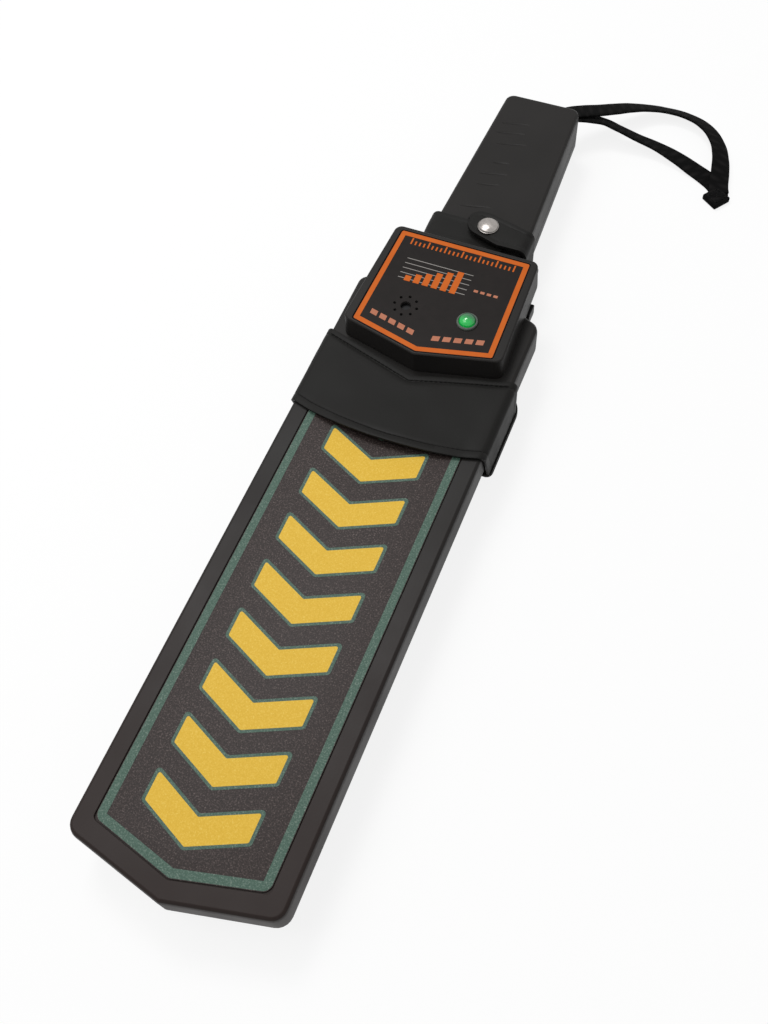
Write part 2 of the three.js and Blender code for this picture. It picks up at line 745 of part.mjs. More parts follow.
const bulb = solid(turned([
  [0, bulbLow - lamp.bulbFlangeDepth], [lamp.bulbFlange, bulbLow - lamp.bulbFlangeDepth],
  [lamp.bulbFlange, bulbLow], [lamp.bulb, bulbLow],
  ...dome(lamp.bulb, headTop - lamp.bulb / 2, lamp.bulb, domePoints),
], lamp.x, lampY, sides.hole)).add(joined(...[-1, 1].map((side) => {
  const x = lamp.x + (side * lamp.legSpread) / 2;
  return block(x - lamp.leg / 2, x + lamp.leg / 2, lampY - lamp.leg / 2, lampY + lamp.leg / 2,
    boardTop + gap, bulbFlangeTop);
})));
piece('green_lamp', shape(bulb), look.glow);

// Side switches

const pushInner = wallInside - gap - push.flangeDepth;
const oblong = (length, height, radius) => outline([
  [-length / 2, -height / 2, radius], [length / 2, -height / 2, radius],
  [length / 2, height / 2, radius], [-length / 2, height / 2, radius],
]);
const flangeReach = push.length / 2 + push.flange;
const flangeRise = push.height / 2 + push.flange;
const pushBody = joined(
  plate(oblong(push.length, push.height, push.radius), pushInner, waistHalf + push.rise)
    .rotateX(Math.PI / 2).rotateZ(Math.PI / 2).translate(0, switchY, switchZ),
  block(pushInner, wallInside - gap, switchY - flangeReach, switchY + flangeReach,
    switchZ - flangeRise, switchZ + flangeRise),
);
piece('push_button', shape(pushBody), look.button);
const slideInner = wallInside - gap - slide.baseDepth;
const slideGrooves = Array.from({ length: slide.grooves }, (_, i) => {
  const pitch = slide.length / (slide.grooves + 1);
  const y = switchY - slide.length / 2 + (i + 1) * pitch;
  return solid(block(-waistHalf - slide.rise - overrun, -waistHalf - slide.rise / 2,
    y - pitch / 4, y + pitch / 4, switchZ - slide.height, switchZ + slide.height));
});
const baseReach = slide.length / 2 + slide.base;
const baseRise = slide.height / 2 + slide.base;
piece('slide_switch_knob', shape(cut(joined(
  block(-waistHalf - slide.rise, -slideInner, switchY - slide.length / 2, switchY + slide.length / 2,
    switchZ - slide.height / 2, switchZ + slide.height / 2),
  block(-wallInside + gap, -slideInner, switchY - baseReach, switchY + baseReach,
    switchZ - baseRise, switchZ + baseRise),
), ...slideGrooves)), look.button);
const switchBox = { depth: 6, length: 7.5, slideLength: 9, lead: 0.9, plunger: 1.5 };
const switchBoxBottom = boardTop + gap;
const switchBoxTop = 2 * switchZ - switchBoxBottom;
const pushStop = pushInner - push.travel - gap;
piece('push_switch', shape(joined(
  block(pushStop - switchBox.lead - switchBox.depth, pushStop - switchBox.lead,
    switchY - switchBox.length / 2, switchY + switchBox.length / 2, switchBoxBottom, switchBoxTop),
  barAlongX(switchBox.plunger, switchY, switchZ, pushStop - switchBox.depth, pushStop, sides.hole),
)), look.chip);
piece('slide_switch', block(-slideInner + gap, -slideInner + gap + switchBox.depth,
  switchY - switchBox.slideLength / 2, switchY + switchBox.slideLength / 2,
  switchBoxBottom, switchBoxTop), look.steel);

// Circuit board and what it carries

piece('circuit_board', shape(cut(
  solid(block(-boardHalf, boardHalf, boardStart, boardEnd, boardBottom, boardTop)),
  ...boardScrews.map(([x, y]) =>
    solid(bar(postHole, x, y, boardBottom - overrun, boardTop + overrun, sides.small))),
)), look.board);
boardScrews.forEach(([x, y], i) => piece(`board_screw_${i + 1}`, shape(screwShape(
  x, y, boardTop + gap, boardTop + gap + boardSize.screwHeadDepth, boardSize.screwHead,
  boardBottom - boardSize.screwBite + gap, screw.shaft,
)), look.steel));
const chip = { half: 5, height: 2, behindPoint: 40.5 };
const chipY = headStart + chip.behindPoint;
piece('control_chip', block(-chip.half, chip.half, chipY - chip.half, chipY + chip.half,
  boardTop + gap, boardTop + gap + chip.height), look.chip);
const capacitor = { radius: 3, height: 8, x: -15, pitch: 8, behindPoint: 26.4, count: 3 };
for (let i = 0; i < capacitor.count; i += 1) {
  const x = capacitor.x + i * capacitor.pitch;
  piece(`capacitor_${i + 1}`, bar(capacitor.radius, x, headStart + capacitor.behindPoint, boardTop + gap,
    boardTop + gap + capacitor.height), look.steel);
}
piece('buzzer', bar(sounder.radius, sounder.x, soundY, headRoof - gap - sounder.thickness, headRoof - gap,
  sides.round), look.chip);
const trimmerTop = boardBottom - gap;
const rotorTop = trimmerTop - trimmer.height - gap;
piece('sensitivity_trimmer', block(trimmer.x - trimmer.size / 2, trimmer.x + trimmer.size / 2,
  trimmerY - trimmer.size / 2, trimmerY + trimmer.size / 2,
  trimmerTop - trimmer.height, trimmerTop), look.ceramic);
piece('trimmer_rotor', shape(cut(
  solid(bar(trimmer.rotor, trimmer.x, trimmerY, rotorTop - trimmer.rotorDepth, rotorTop)),
  solid(block(trimmer.x - trimmer.rotor, trimmer.x + trimmer.rotor, trimmerY - trimmer.slot / 2,
    trimmerY + trimmer.slot / 2, rotorTop - overrun, rotorTop - trimmer.rotorDepth / 2)),
)), look.steel);

// Search coil on its former

const formerCorners = mirrored([
  [0, coilStart, coil.radius],
  [coil.formerHalf, coilStart + coil.rise, coil.radius],
  [coil.formerHalf, coilEnd, coil.radius],
]);
const windowsStart = coilStart + coil.rise + coil.windowRib;
const windowStep = (coilEnd - windowsStart) / coil.windows;
const formerWindows = Array.from({ length: coil.windows }, (_, i) => {
  const start = windowsStart + i * windowStep;
  return solid(block(-coil.windowHalf, coil.windowHalf, start, start + windowStep - coil.windowRib,
    middle - overrun, middle + overrun));
});
const midPlate = (points, height) => solid(plate(points, middle - height / 2, middle + height / 2));
piece('coil_former', shape(cut(
  midPlate(outline(formerCorners), coil.formerThickness),
  ...formerWindows,
)), look.former);
piece('search_coil', shape(cut(
  midPlate(outline(formerCorners, -gap - coil.ring), coil.height),
  midPlate(outline(formerCorners, -gap), coil.height + overrun),
)), look.copper);

// Battery, its clip, foam and leads

const batteryBottom = palmFloor + battery.lift;
const batteryTop = batteryBottom + battery.height;
const batteryMiddle = (batteryBottom + batteryTop) / 2;
piece('battery', shape(joined(
  plate(oblong(battery.width, battery.height, battery.edge), 0, battery.length)
    .rotateX(Math.PI / 2).translate(0, batteryEnd, batteryMiddle),
  ...[-1, 1].map((side) => barAlongY(battery.terminal, (side * battery.terminalSpread) / 2, batteryMiddle,
    batteryStart - battery.terminalDepth, batteryStart + bit)),
)), look.battery);
const clip = { width: 25, height: 12, thickness: 3.4 };
const clipEnd = batteryStart - battery.terminalDepth - gap;
const clipStart = clipEnd - clip.thickness;
piece('battery_clip', block(-clip.width / 2, clip.width / 2, clipStart, clipEnd,
  batteryMiddle - clip.height / 2, batteryMiddle + clip.height / 2), look.chip);
const foam = { margin: 3, endMargin: 5 };
piece('battery_foam', block(-battery.width / 2 + foam.margin, battery.width / 2 - foam.margin,
  batteryStart + foam.endMargin, batteryEnd - foam.endMargin, batteryTop + gap, roof - gap), look.foam);
function wire(points, radius, steps) {
  const section = Array.from({ length: sides.wire }, (_, i) => {
    const angle = (i / sides.wire) * 2 * Math.PI;
    return flat(radius * Math.cos(angle), radius * Math.sin(angle));
  });
  const extrudePath = new THREE.CatmullRomCurve3(points.map(([x, y, z]) => new THREE.Vector3(x, y, z)));
  return new THREE.ExtrudeGeometry(new THREE.Shape(section), { steps, extrudePath, bevelEnabled: false });
}
const lead = { radius: 0.8, x: 5, spread: 4, steps: 14, coilRadius: 0.6, coilX: 10, sag: 2 };
const leadPath = (x) => {
  const start = boardEnd + gap;
  const run = clipStart - start;
  const level = boardBottom + boardSize.thickness / 2;
  return [
    [x, start, level], [x, start + run / 4, level - lead.sag],
    [x, start + run / 2, batteryMiddle - lead.sag],
    [x, clipStart - run / 4, batteryMiddle], [x, clipStart - gap, batteryMiddle],
  ];
};
piece('battery_lead_red', wire(leadPath(lead.x), lead.radius, lead.steps), look.leadRed);
piece('battery_lead_black', wire(leadPath(lead.x + lead.spread), lead.radius, lead.steps), look.leadBlack);
const coilEdge = coilEnd + gap + coil.ring + gap;
const boardEdge = boardStart - gap;
piece('coil_lead', wire([
  [lead.coilX, coilEdge, middle], [lead.coilX, (coilEdge + boardEdge) / 2, middle + lead.sag],
  [lead.coilX, boardEdge, boardBottom + boardSize.thickness / 2],
], lead.coilRadius, sides.small), look.copper);

// Vibration motor and its off-centre weight

piece('vibration_motor', barAlongY(motor.radius, motor.x, motorZ, motorStart, motorEnd), look.steel);
const weightStart = motorEnd + 2 * gap;
const weightEnd = weightStart + motor.weightLength;
const halfWeight = cut(
  solid(barAlongY(motor.weight, motor.x, motorZ, weightStart, weightEnd)),
  solid(block(motor.x - motor.weight - gap, motor.x + motor.weight + gap, weightStart - overrun,
    weightEnd + overrun, motorZ, motorZ + motor.weight + gap)),
);
const motorShaft = barAlongY(motor.shaft, motor.x, motorZ, motorEnd + gap, weightEnd + gap, sides.small);
piece('vibration_weight', shape(halfWeight.add(solid(motorShaft))), look.steel);

// Holster: back panel, front band, neck strap with its snap flap, and belt loop

const panel = {
  half: 44.8,
  beforeHead: 25.6,
  straight: 37, // length of its full width, which the band is sewn to
  taper: 24,
  neckHalf: 27.2,
  radius: 3,
};
const panelStart = headStart - panel.beforeHead;
const panelCorners = mirrored([
  [panel.half, panelStart, panel.radius],
  [panel.half, panelStart + panel.straight, panel.radius],
  [panel.neckHalf, panelStart + panel.straight + panel.taper, panel.radius],
  [panel.neckHalf, headEnd + holsterBehindHead, panel.radius],
]);
const loop = {
  width: 40,
  inset: 1.5,
  length: 85.5,
  tab: 9,
  slope: 6,
  bend: 1.2,
  rivet: 2.5,
  rivetDepth: 0.8,
  rivetShank: 1.2,
  rivetX: 12,
};
const tabTop = panelBottom - gap;
const loopStart = panelStart + loop.inset;
const loopEnd = loopStart + loop.length;
const rivetPlaces = [-1, 1].flatMap((side) => [loopStart + loop.tab / 2, loopEnd - loop.tab / 2]
  .map((y) => [side * loop.rivetX, y]));
const rivetHoles = rivetPlaces.map(([x, y]) =>
  solid(bar(loop.rivetShank + screwHole, x, y, -overrun, panelTop + overrun, sides.small)));
piece('holster_back', shape(cut(
  solid(plate(outline(panelCorners), panelBottom, panelTop)),
  ...rivetHoles,
)), look.leather);
const loopPath = rounded([
  [loopEnd, tabTop - leather.loop, 0],
  [loopEnd - loop.tab, tabTop - leather.loop, loop.bend],
  [loopEnd - loop.tab - loop.slope, 0, loop.bend],
  [loopStart + loop.tab + loop.slope, 0, loop.bend],
  [loopStart + loop.tab, tabTop - leather.loop, loop.bend],
  [loopStart, tabTop - leather.loop, 0],
].reverse());
piece('belt_loop', shape(cut(
  solid(runAlongX(thick(loopPath, leather.loop), -loop.width / 2, loop.width / 2)),
  ...rivetHoles,
)), look.leather);
const rivetTop = tabTop - leather.loop - gap;
rivetPlaces.forEach(([x, y], i) => piece(`belt_loop_rivet_${i + 1}`, shape(joined(
  bar(loop.rivet, x, y, rivetTop - loop.rivetDepth, rivetTop),
  bar(loop.rivetShank, x, y, rivetTop - loop.rivetDepth, panelTop - gap, sides.small),
)), look.steel));

const band = {
  start: 38.6, // before the head's point
  startRise: 7,
  length: 35,
  endRise: 12,
  radius: 1.8,
  flange: 1.9,
  slant: 6.5, // of its lower hem down the sides
  bulge: 2.6,
  bulgeHalf: 34,
  bulgePower: 2,
  rows: 5,
  columns: 12,
};
const bandInner = paddleHalf + gap;
const bandStart = headStart - band.start;
const bandProfile = () => {
  const across = Array.from({ length: band.columns - 1 }, (_, i) =>
    [bandInner - band.radius - ((i + 1) / band.columns) * 2 * (bandInner - band.radius), front + gap, 0]);
  return rounded([
    [bandInner + band.flange, back, 0], [bandInner, back, 0], [bandInner, front + gap, band.radius],
    ...across,
    [-bandInner, front + gap, band.radius], [-bandInner, back, 0], [-bandInner - band.flange, back, 0],
  ]);
};
const bandSection = thick(bandProfile(), -leather.band);
const bandRings = Array.from({ length: band.rows + 1 }, (_, row) => {
  const share = row / band.rows;
  return bandSection.map((point) => {
    const reach = Math.min(Math.abs(point.x) / bandInner, 1);
    const down = Math.min(Math.max((front - point.y) / casing.depth, 0), 1);
    const low = bandStart + band.startRise * reach * reach + band.slant * down;
    const high = bandStart + band.length + band.endRise * reach;
    const crown = Math.max(1 - (point.x / band.bulgeHalf) ** band.bulgePower, 0);
    const lift = point.y > front ? band.bulge * crown * (1 - share) ** band.bulgePower : 0;
    return new THREE.Vector3(point.x, low + (high - low) * share, point.y + lift);
  });
});
piece('holster_band', swept(bandRings), look.leather);

const strap = { behindHead: 6.2, width: 15.5, sideWidth: 12.4, over: 13, radius: 2, half: 23.6 };
const strapStart = headEnd + strap.behindHead;
const strapEnd = strapStart + strap.width;
const strapTop = front + gap;
const neckPath = rounded([
  [strap.over, strapTop, 0], [-strap.half, strapTop, strap.radius], [-strap.half, panelTop + gap, 0],
]);
piece('neck_strap', runAlongY(thick(neckPath.reverse(), leather.strap), strapStart, strapEnd), look.leather);
const hinge = { x: 24.5, height: 23.5, root: 0.3 };
const hingeZ = back + hinge.height;
const hingeX = hinge.x;
const sideInner = hingeX - leather.strap / 2;
const sideEnd = strapStart + strap.sideWidth;
piece('neck_strap_side', block(sideInner, sideInner + leather.strap, strapStart, sideEnd, panelTop + gap,
  hingeZ - leather.strap / 2 - gap), look.leather);
const snap = {
  x: 3.9,
  rise: 4.7, // of the flap's underside over the casing's front
  behindStrapStart: 9.8,
  bend: 2.6,
  cap: 4.9,
  capRise: 2.2,
  capEdge: 0.5,
  stud: 1.5,
  studBase: 3.8,
  studBaseDepth: 0.6,
  socket: 4.3,
  socketBore: 1.9,
  socketDepth: 1.6,
};
const snapY = strapStart + snap.behindStrapStart;
const flapBottom = front + snap.rise;
const flapTop = flapBottom + leather.strap;
// The flap's outline, from the snap's middle and the strap's front edge, each corner with its radius
const flapCorners = [
  [-9.4, 5.8, 5], [7.1, 1, 14], [28.6, 0.8, 0], [28.6, 12.4, 0],
  [17.5, 13.2, 14], [-2.5, 18.4, 8], [-11.3, 13, 5.5],
].map(([x, y, radius]) => [snap.x + x, strapStart + y, radius]);
const flapPath = rounded([
  [sideInner, hingeZ + hinge.root, 0], [sideInner, flapBottom, snap.bend],
  [flapCorners[6][0], flapBottom, 0],
]);
piece('strap_flap', shape(
  solid(runAlongY(thick(flapPath, -leather.strap), strapStart, strapEnd + overrun))
    .intersect(solid(plate(outline(flapCorners), hingeZ - overrun, flapTop + overrun))),
), look.leather);
piece('snap_cap', turned([
  [0, flapTop + gap], [snap.cap, flapTop + gap], [snap.cap, flapTop + gap + snap.capEdge],
  ...dome(snap.cap - snap.capEdge, flapTop + gap + snap.capEdge, snap.capRise - snap.capEdge, domePoints),
], snap.x, snapY), look.steel);
const socketTop = flapBottom - gap;
const socketLow = socketTop - snap.socketDepth;
piece('snap_socket', turned([
  [snap.socketBore, socketLow], [snap.socket, socketLow],
  [snap.socket, socketTop], [snap.socketBore, socketTop], [snap.socketBore, socketLow],
], snap.x, snapY), look.steel);
const studLow = strapTop + leather.strap + gap;
piece('snap_stud', turned([
  [0, studLow], [snap.studBase, studLow], [snap.studBase, studLow + snap.studBaseDepth],
  [snap.stud, studLow + snap.studBaseDepth], [snap.stud, socketTop - gap], [0, socketTop - gap],
], snap.x, snapY), look.steel);

// Wrist strap: looped round its pin in the handle's end, two free runs and their sewn end

piece('strap_pin', barAlongX(pin.radius, pinY, strapZ, strapExit.x - strapSlot / 2 - pin.lug,
  strapExit.x + strapSlot / 2 + pin.lug), look.steel);
const layerOffset = strapExit.layerGap / 2;
const loopInner = pin.radius + gap;
const anchorPath = rounded([
  [handleEnd - gap, strapZ + layerOffset, 0], [pinY + pin.fromEnd / 2, strapZ + layerOffset, 0],
  [pinY + loopInner, strapZ + loopInner, 0], [pinY - loopInner, strapZ + loopInner, pin.radius],
  [pinY - loopInner, strapZ - loopInner, pin.radius], [pinY + loopInner, strapZ - loopInner, 0],
  [pinY + pin.fromEnd / 2, strapZ - layerOffset, 0], [handleEnd - gap, strapZ - layerOffset, 0],
]);
piece('strap_anchor', runAlongX(thick(anchorPath, -webbing.thickness), strapExit.x - webbing.width / 2,
  strapExit.x + webbing.width / 2), look.webbing);

// The centre line of each free run: places chosen by hand, in X, beyond the handle's end and in Z, and the
// webbing's turn about the run in degrees
const upperLayer = strapZ + layerOffset + webbing.thickness / 2;
const lowerLayer = strapZ - layerOffset - webbing.thickness / 2;
const outerRun = [
  [8.5, 0, upperLayer, 0], [8.5, 2.5, upperLayer, 0], [11, 8.2, 19.4, -4], [16.5, 14.4, 17, -5],
  [23.5, 20.6, 14.4, -6], [30, 27, 11.8, -8], [37.5, 34, 9, -14], [45, 39.6, 6.2, -22],
  [54, 43, 4.4, -28], [66, 42.9, 3.8, -28], [76.4, 38.6, 3.7, -26], [84.4, 29.8, 3.7, -25],
  [88.6, 20, 3.9, -22], [91, 10, 3.6, -12], [92.95, 0.25, 2.5, -1], [94.05, -2.8, 2.25, 0],
];
const innerRun = [
  [8.5, 0, lowerLayer, 0], [8.5, 2.5, lowerLayer, 0], [11.2, 6.8, 18.2, -5],
  [16, 11.2, 16, -10],
  [22.5, 14.6, 13.6, -18], [28, 16.5, 11.8, -24], [36, 17, 9.2, -26], [46, 17, 6.2, -24],
  [56.5, 16.4, 4.2, -20], [68, 13.6, 2.6, -10], [78, 9.8, 1.3, -3], [86, 6, 0.85, 0],
  [90.9, 2.6, 0.75, 0], [93, -0.1, 0.72, 0], [94.05, -2.8, 0.7, 0],
];
const sewn = { length: 9.5, thickness: 2.6, x: 95.8, beyondEnd: -7.6, angle: -70 };

// A flat strip of webbing along a run, with so many sections between its first and last place.
function ribbon(run, sections) {
  const places = run.map(([x, beyond, z]) => new THREE.Vector3(x, handleEnd + beyond, z));
  const path = new THREE.CatmullRomCurve3(places);
  const up = new THREE.Vector3(0, 0, 1);
  const rings = Array.from({ length: sections + 1 }, (_, i) => {
    const share = i / sections;
    const place = path.getPoint(share);
    const forward = path.getTangent(share);
    const across = up.clone().cross(forward).normalize();
    const above = forward.clone().cross(across);
    const step = Math.min(Math.floor(share * (run.length - 1)), run.length - 2);
    const part = share * (run.length - 1) - step;
    const turn = THREE.MathUtils.degToRad(THREE.MathUtils.lerp(run[step][3], run[step + 1][3], part));
    const wide = across.clone().multiplyScalar(Math.cos(turn)).addScaledVector(above, Math.sin(turn));
    const high = forward.clone().cross(wide);
    const edge = (sideways, upwards) => place.clone().addScaledVector(wide, (sideways * webbing.width) / 2)
      .addScaledVector(high, (upwards * webbing.thickness) / 2);
    return [edge(1, 1), edge(-1, 1), edge(-1, -1), edge(1, -1)];
  });
  return swept(rings);
}
const runSections = 36;
piece('wrist_strap_outer', ribbon(outerRun, runSections), look.webbing);
piece('wrist_strap_inner', ribbon(innerRun, runSections), look.webbing);
const sewnEnd = new THREE.BoxGeometry(sewn.length, webbing.width, sewn.thickness)
  .rotateZ(THREE.MathUtils.degToRad(sewn.angle))
  .translate(sewn.x, handleEnd + sewn.beyondEnd, sewn.thickness / 2);
piece('wrist_strap_end', sewnEnd, look.webbing);

export default wand;
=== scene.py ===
# %% [markdown]
# # A hand-held security metal detector wand
#
# The construction of the wand is finished before this lesson starts: every shell, switch, screw and
# strap has its real size and its place. Here each piece gets the surface that the eye expects of it:
# eased moulding edges, grained leather with its stitching, printed films, webbing and bright metal.
# Everything is in metres, with X across the wand, Y from its tip to its handle and Z up.

# %% The fixed frame and the tools
import json
import math
import random

import bmesh
import bpy
from mathutils import Matrix, Vector, noise
from mathutils.bvhtree import BVHTree

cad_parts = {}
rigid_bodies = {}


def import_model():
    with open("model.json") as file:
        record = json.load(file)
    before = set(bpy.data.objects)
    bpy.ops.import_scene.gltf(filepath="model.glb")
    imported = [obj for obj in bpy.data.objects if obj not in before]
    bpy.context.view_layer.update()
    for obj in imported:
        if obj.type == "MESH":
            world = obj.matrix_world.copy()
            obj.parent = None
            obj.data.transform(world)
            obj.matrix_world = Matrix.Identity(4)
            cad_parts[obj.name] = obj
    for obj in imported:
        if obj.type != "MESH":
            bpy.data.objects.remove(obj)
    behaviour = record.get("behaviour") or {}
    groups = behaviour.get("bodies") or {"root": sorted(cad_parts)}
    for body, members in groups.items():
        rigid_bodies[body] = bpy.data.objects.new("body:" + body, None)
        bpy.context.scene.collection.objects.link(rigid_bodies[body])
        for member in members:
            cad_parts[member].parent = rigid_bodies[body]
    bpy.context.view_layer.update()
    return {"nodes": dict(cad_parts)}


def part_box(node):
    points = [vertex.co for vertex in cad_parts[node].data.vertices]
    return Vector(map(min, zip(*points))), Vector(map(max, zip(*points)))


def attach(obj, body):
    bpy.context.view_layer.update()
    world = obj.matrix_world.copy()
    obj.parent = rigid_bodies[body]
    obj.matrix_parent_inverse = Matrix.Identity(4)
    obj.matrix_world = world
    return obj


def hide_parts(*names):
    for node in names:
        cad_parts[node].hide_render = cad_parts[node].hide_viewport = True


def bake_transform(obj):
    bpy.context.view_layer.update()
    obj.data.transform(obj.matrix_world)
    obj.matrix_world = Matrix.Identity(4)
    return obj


for leftover in list(bpy.data.objects):
    bpy.data.objects.remove(leftover)
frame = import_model()
nodes = frame["nodes"]
mm = 0.001
print("pieces in the construction:", len(nodes))

# %% [markdown]
# ## The camera
#
# The wand lies on its belt loop and is seen from above its tip, a little from the right. A lens of
# normal length keeps the paddle, which is nearest, wider than the handle. A camera looks along its
# own -Z, so its matrix has three columns: what is to the right, what is up, and what is behind it.

# %% Camera
to_the_right = Vector((0.9225, 0.3818, -0.0563)).normalized()
ahead = Vector((-0.2301, 0.4270, -0.8745)).normalized()
camera = bpy.data.objects.new("camera", bpy.data.cameras.new("camera"))
camera.data.lens = 38.72
camera.data.sensor_width = 36
upwards = to_the_right.cross(ahead)
camera.matrix_world = Matrix((
    (to_the_right.x, upwards.x, -ahead.x, 0.1155),
    (to_the_right.y, upwards.y, -ahead.y, -0.2262),
    (to_the_right.z, upwards.z, -ahead.z, 0.4151),
    (0, 0, 0, 1),
))
bpy.context.scene.collection.objects.link(camera)
bpy.context.scene.camera = camera
print("camera at", [round(value, 3) for value in camera.matrix_world.translation])

# %% [markdown]
# ## Colours and nodes
#
# Colours are read from a screen as hex values, which are brightened for the eye. A shader needs the
# amount of light instead, so one function undoes the brightening. A second one adds a node with its
# settings and its links, so that each finish below reads as a list of what it is made of.

# %% Helpers for finishes
def paint(code):
    """The linear colour of an sRGB hex value."""
    levels = [int(code[i:i + 2], 16) / 255 for i in (1, 3, 5)]
    return [v / 12.92 if v <= 0.04045 else ((v + 0.055) / 1.055) ** 2.4 for v in levels] + [1]


def add(material, kind, inputs=None, **settings):
    """Adds a node with its settings. Each input is a value, or the output socket that feeds it."""
    node = material.node_tree.nodes.new(kind)
    for name, value in settings.items():
        setattr(node, name, value)
    for name, value in (inputs or {}).items():
        if isinstance(value, bpy.types.NodeSocket):
            material.node_tree.links.new(value, node.inputs[name])
        else:
            node.inputs[name].default_value = value
    return node


def finish(name, **constants):
    """A new material with one Principled shader, and the coordinates its patterns follow."""
    material = bpy.data.materials.new(name)
    material.use_nodes = True
    material.node_tree.nodes.clear()
    shader = add(material, "ShaderNodeBsdfPrincipled", constants)
    add(material, "ShaderNodeOutputMaterial", {"Surface": shader.outputs["BSDF"]})
    coords = add(material, "ShaderNodeTexCoord")
    return material, shader, coords.outputs["Object"]


def feed(material, shader, **links):
    """Links the given sockets into the shader's inputs."""
    for name, socket in links.items():
        material.node_tree.links.new(socket, shader.inputs[name.replace("_", " ")])


def per(size):
    """The scale that makes a pattern repeat once in a real size, here in millimetres."""
    return 1 / (size * mm)


print("mid grey is", round(paint("#808080")[0], 3), "of the light of white")

# %% [markdown]
# ## The casing's plastic
#
# The shells are moulded ABS with a spark-eroded texture: a satin black-brown that is almost smooth,
# with a fine pitting that breaks up the highlights. The pits are about 0.3 mm across on the real
# shell, and are drawn at 0.9 mm so that they still show. Handling polishes some areas a little, so
# the roughness drifts over about 30 mm, and towards the tip the colour runs to a lighter brown.

# %% Moulded ABS
def moulded_abs(name, dark, light, roughness, gleam=0.16, tip_brown=None):
    material, shader, place = finish(name, IOR=1.53)
    drift = add(material, "ShaderNodeTexNoise", {"Vector": place, "Scale": per(30), "Detail": 3.0})
    colour = add(material, "ShaderNodeMix", {
        "Factor": drift.outputs["Fac"], "A": paint(dark), "B": paint(light)}, data_type="RGBA")
    # Towards the tip the colour runs to a lighter brown.
    if tip_brown:
        along = add(material, "ShaderNodeSeparateXYZ", {"Vector": place}).outputs["Y"]
        share = add(material, "ShaderNodeMapRange", {
            "Value": along, "From Min": -20 * mm, "From Max": -180 * mm, "To Max": 0.9})
        colour = add(material, "ShaderNodeMix", {
            "Factor": share.outputs["Result"], "A": colour.outputs["Result"], "B": paint(tip_brown)},
            data_type="RGBA")
    gloss = add(material, "ShaderNodeMapRange", {
        "Value": drift.outputs["Fac"], "From Min": 0.3, "From Max": 0.7,
        "To Min": roughness - 0.05, "To Max": roughness + 0.06})
    pits = add(material, "ShaderNodeTexNoise", {"Vector": place, "Scale": per(0.9), "Detail": 2.0})
    bump = add(material, "ShaderNodeBump", {
        "Height": pits.outputs["Fac"], "Strength": 0.35, "Distance": 0.05 * mm})
    feed(material, shader, Base_Color=colour.outputs["Result"], Roughness=gloss.outputs["Result"],
         Normal=bump.outputs["Normal"])
    shader.inputs["Specular IOR Level"].default_value = gleam
    return material


abs_casing = moulded_abs("moulded_abs_casing", "#201f1e", "#272524", 0.42, 0.1, "#2c2422")
abs_button = moulded_abs("moulded_abs_button", "#141415", "#19191a", 0.36, 0.08)
print("plastics:", abs_casing.name, abs_button.name)

# %% [markdown]
# ## The holster's leather
#
# The holster is coated split leather. Its coating is embossed with small pebbles, about 0.8 mm
# apart, separated by finer valleys, and it has a low, even sheen. A Voronoi texture gives pebbles,
# and a noise bends its coordinates so that no two are alike. Broad folds catch the light differently
# than the flats, so the roughness drifts too.

# %% Coated leather and its thread
def coated_leather():
    material, shader, place = finish("coated_split_leather", IOR=1.5)
    shader.inputs["Specular IOR Level"].default_value = 0.08
    bend = add(material, "ShaderNodeTexNoise", {"Vector": place, "Scale": per(2.5), "Detail": 2.0})
    moved = add(material, "ShaderNodeVectorMath", {0: bend.outputs["Color"], 1: (mm, mm, mm)},
                operation="MULTIPLY")
    shifted = add(material, "ShaderNodeVectorMath", {0: place, 1: moved.outputs["Vector"]},
                  operation="ADD")
    pebbles = add(material, "ShaderNodeTexVoronoi", {
        "Vector": shifted.outputs["Vector"], "Scale": per(0.8)}, feature="F1")
    drift = add(material, "ShaderNodeTexNoise", {"Vector": place, "Scale": per(22), "Detail": 4.0})
    colour = add(material, "ShaderNodeMix", {
        "Factor": drift.outputs["Fac"], "A": paint("#191918"), "B": paint("#232221")},
        data_type="RGBA")
    gloss = add(material, "ShaderNodeMapRange", {
        "Value": drift.outputs["Fac"], "From Min": 0.3, "From Max": 0.7, "To Min": 0.44, "To Max": 0.58})
    bump = add(material, "ShaderNodeBump", {
        "Height": pebbles.outputs["Distance"], "Strength": 0.3, "Distance": 0.06 * mm}, invert=True)
    feed(material, shader, Base_Color=colour.outputs["Result"], Roughness=gloss.outputs["Result"],
         Normal=bump.outputs["Normal"])
    return material


def polyester_thread():
    material, shader, place = finish("polyester_thread", Roughness=0.6, IOR=1.5)
    shader.inputs["Specular IOR Level"].default_value = 0.06
    twist = add(material, "ShaderNodeTexWave", {"Vector": place, "Scale": per(6), "Distortion": 2.0})
    colour = add(material, "ShaderNodeMix", {
        "Factor": twist.outputs["Fac"], "A": paint("#0b0b0b"), "B": paint("#191817")},
        data_type="RGBA")
    feed(material, shader, Base_Color=colour.outputs["Result"])
    return material


leather = coated_leather()
thread = polyester_thread()
print("leather and thread:", leather.name, thread.name)
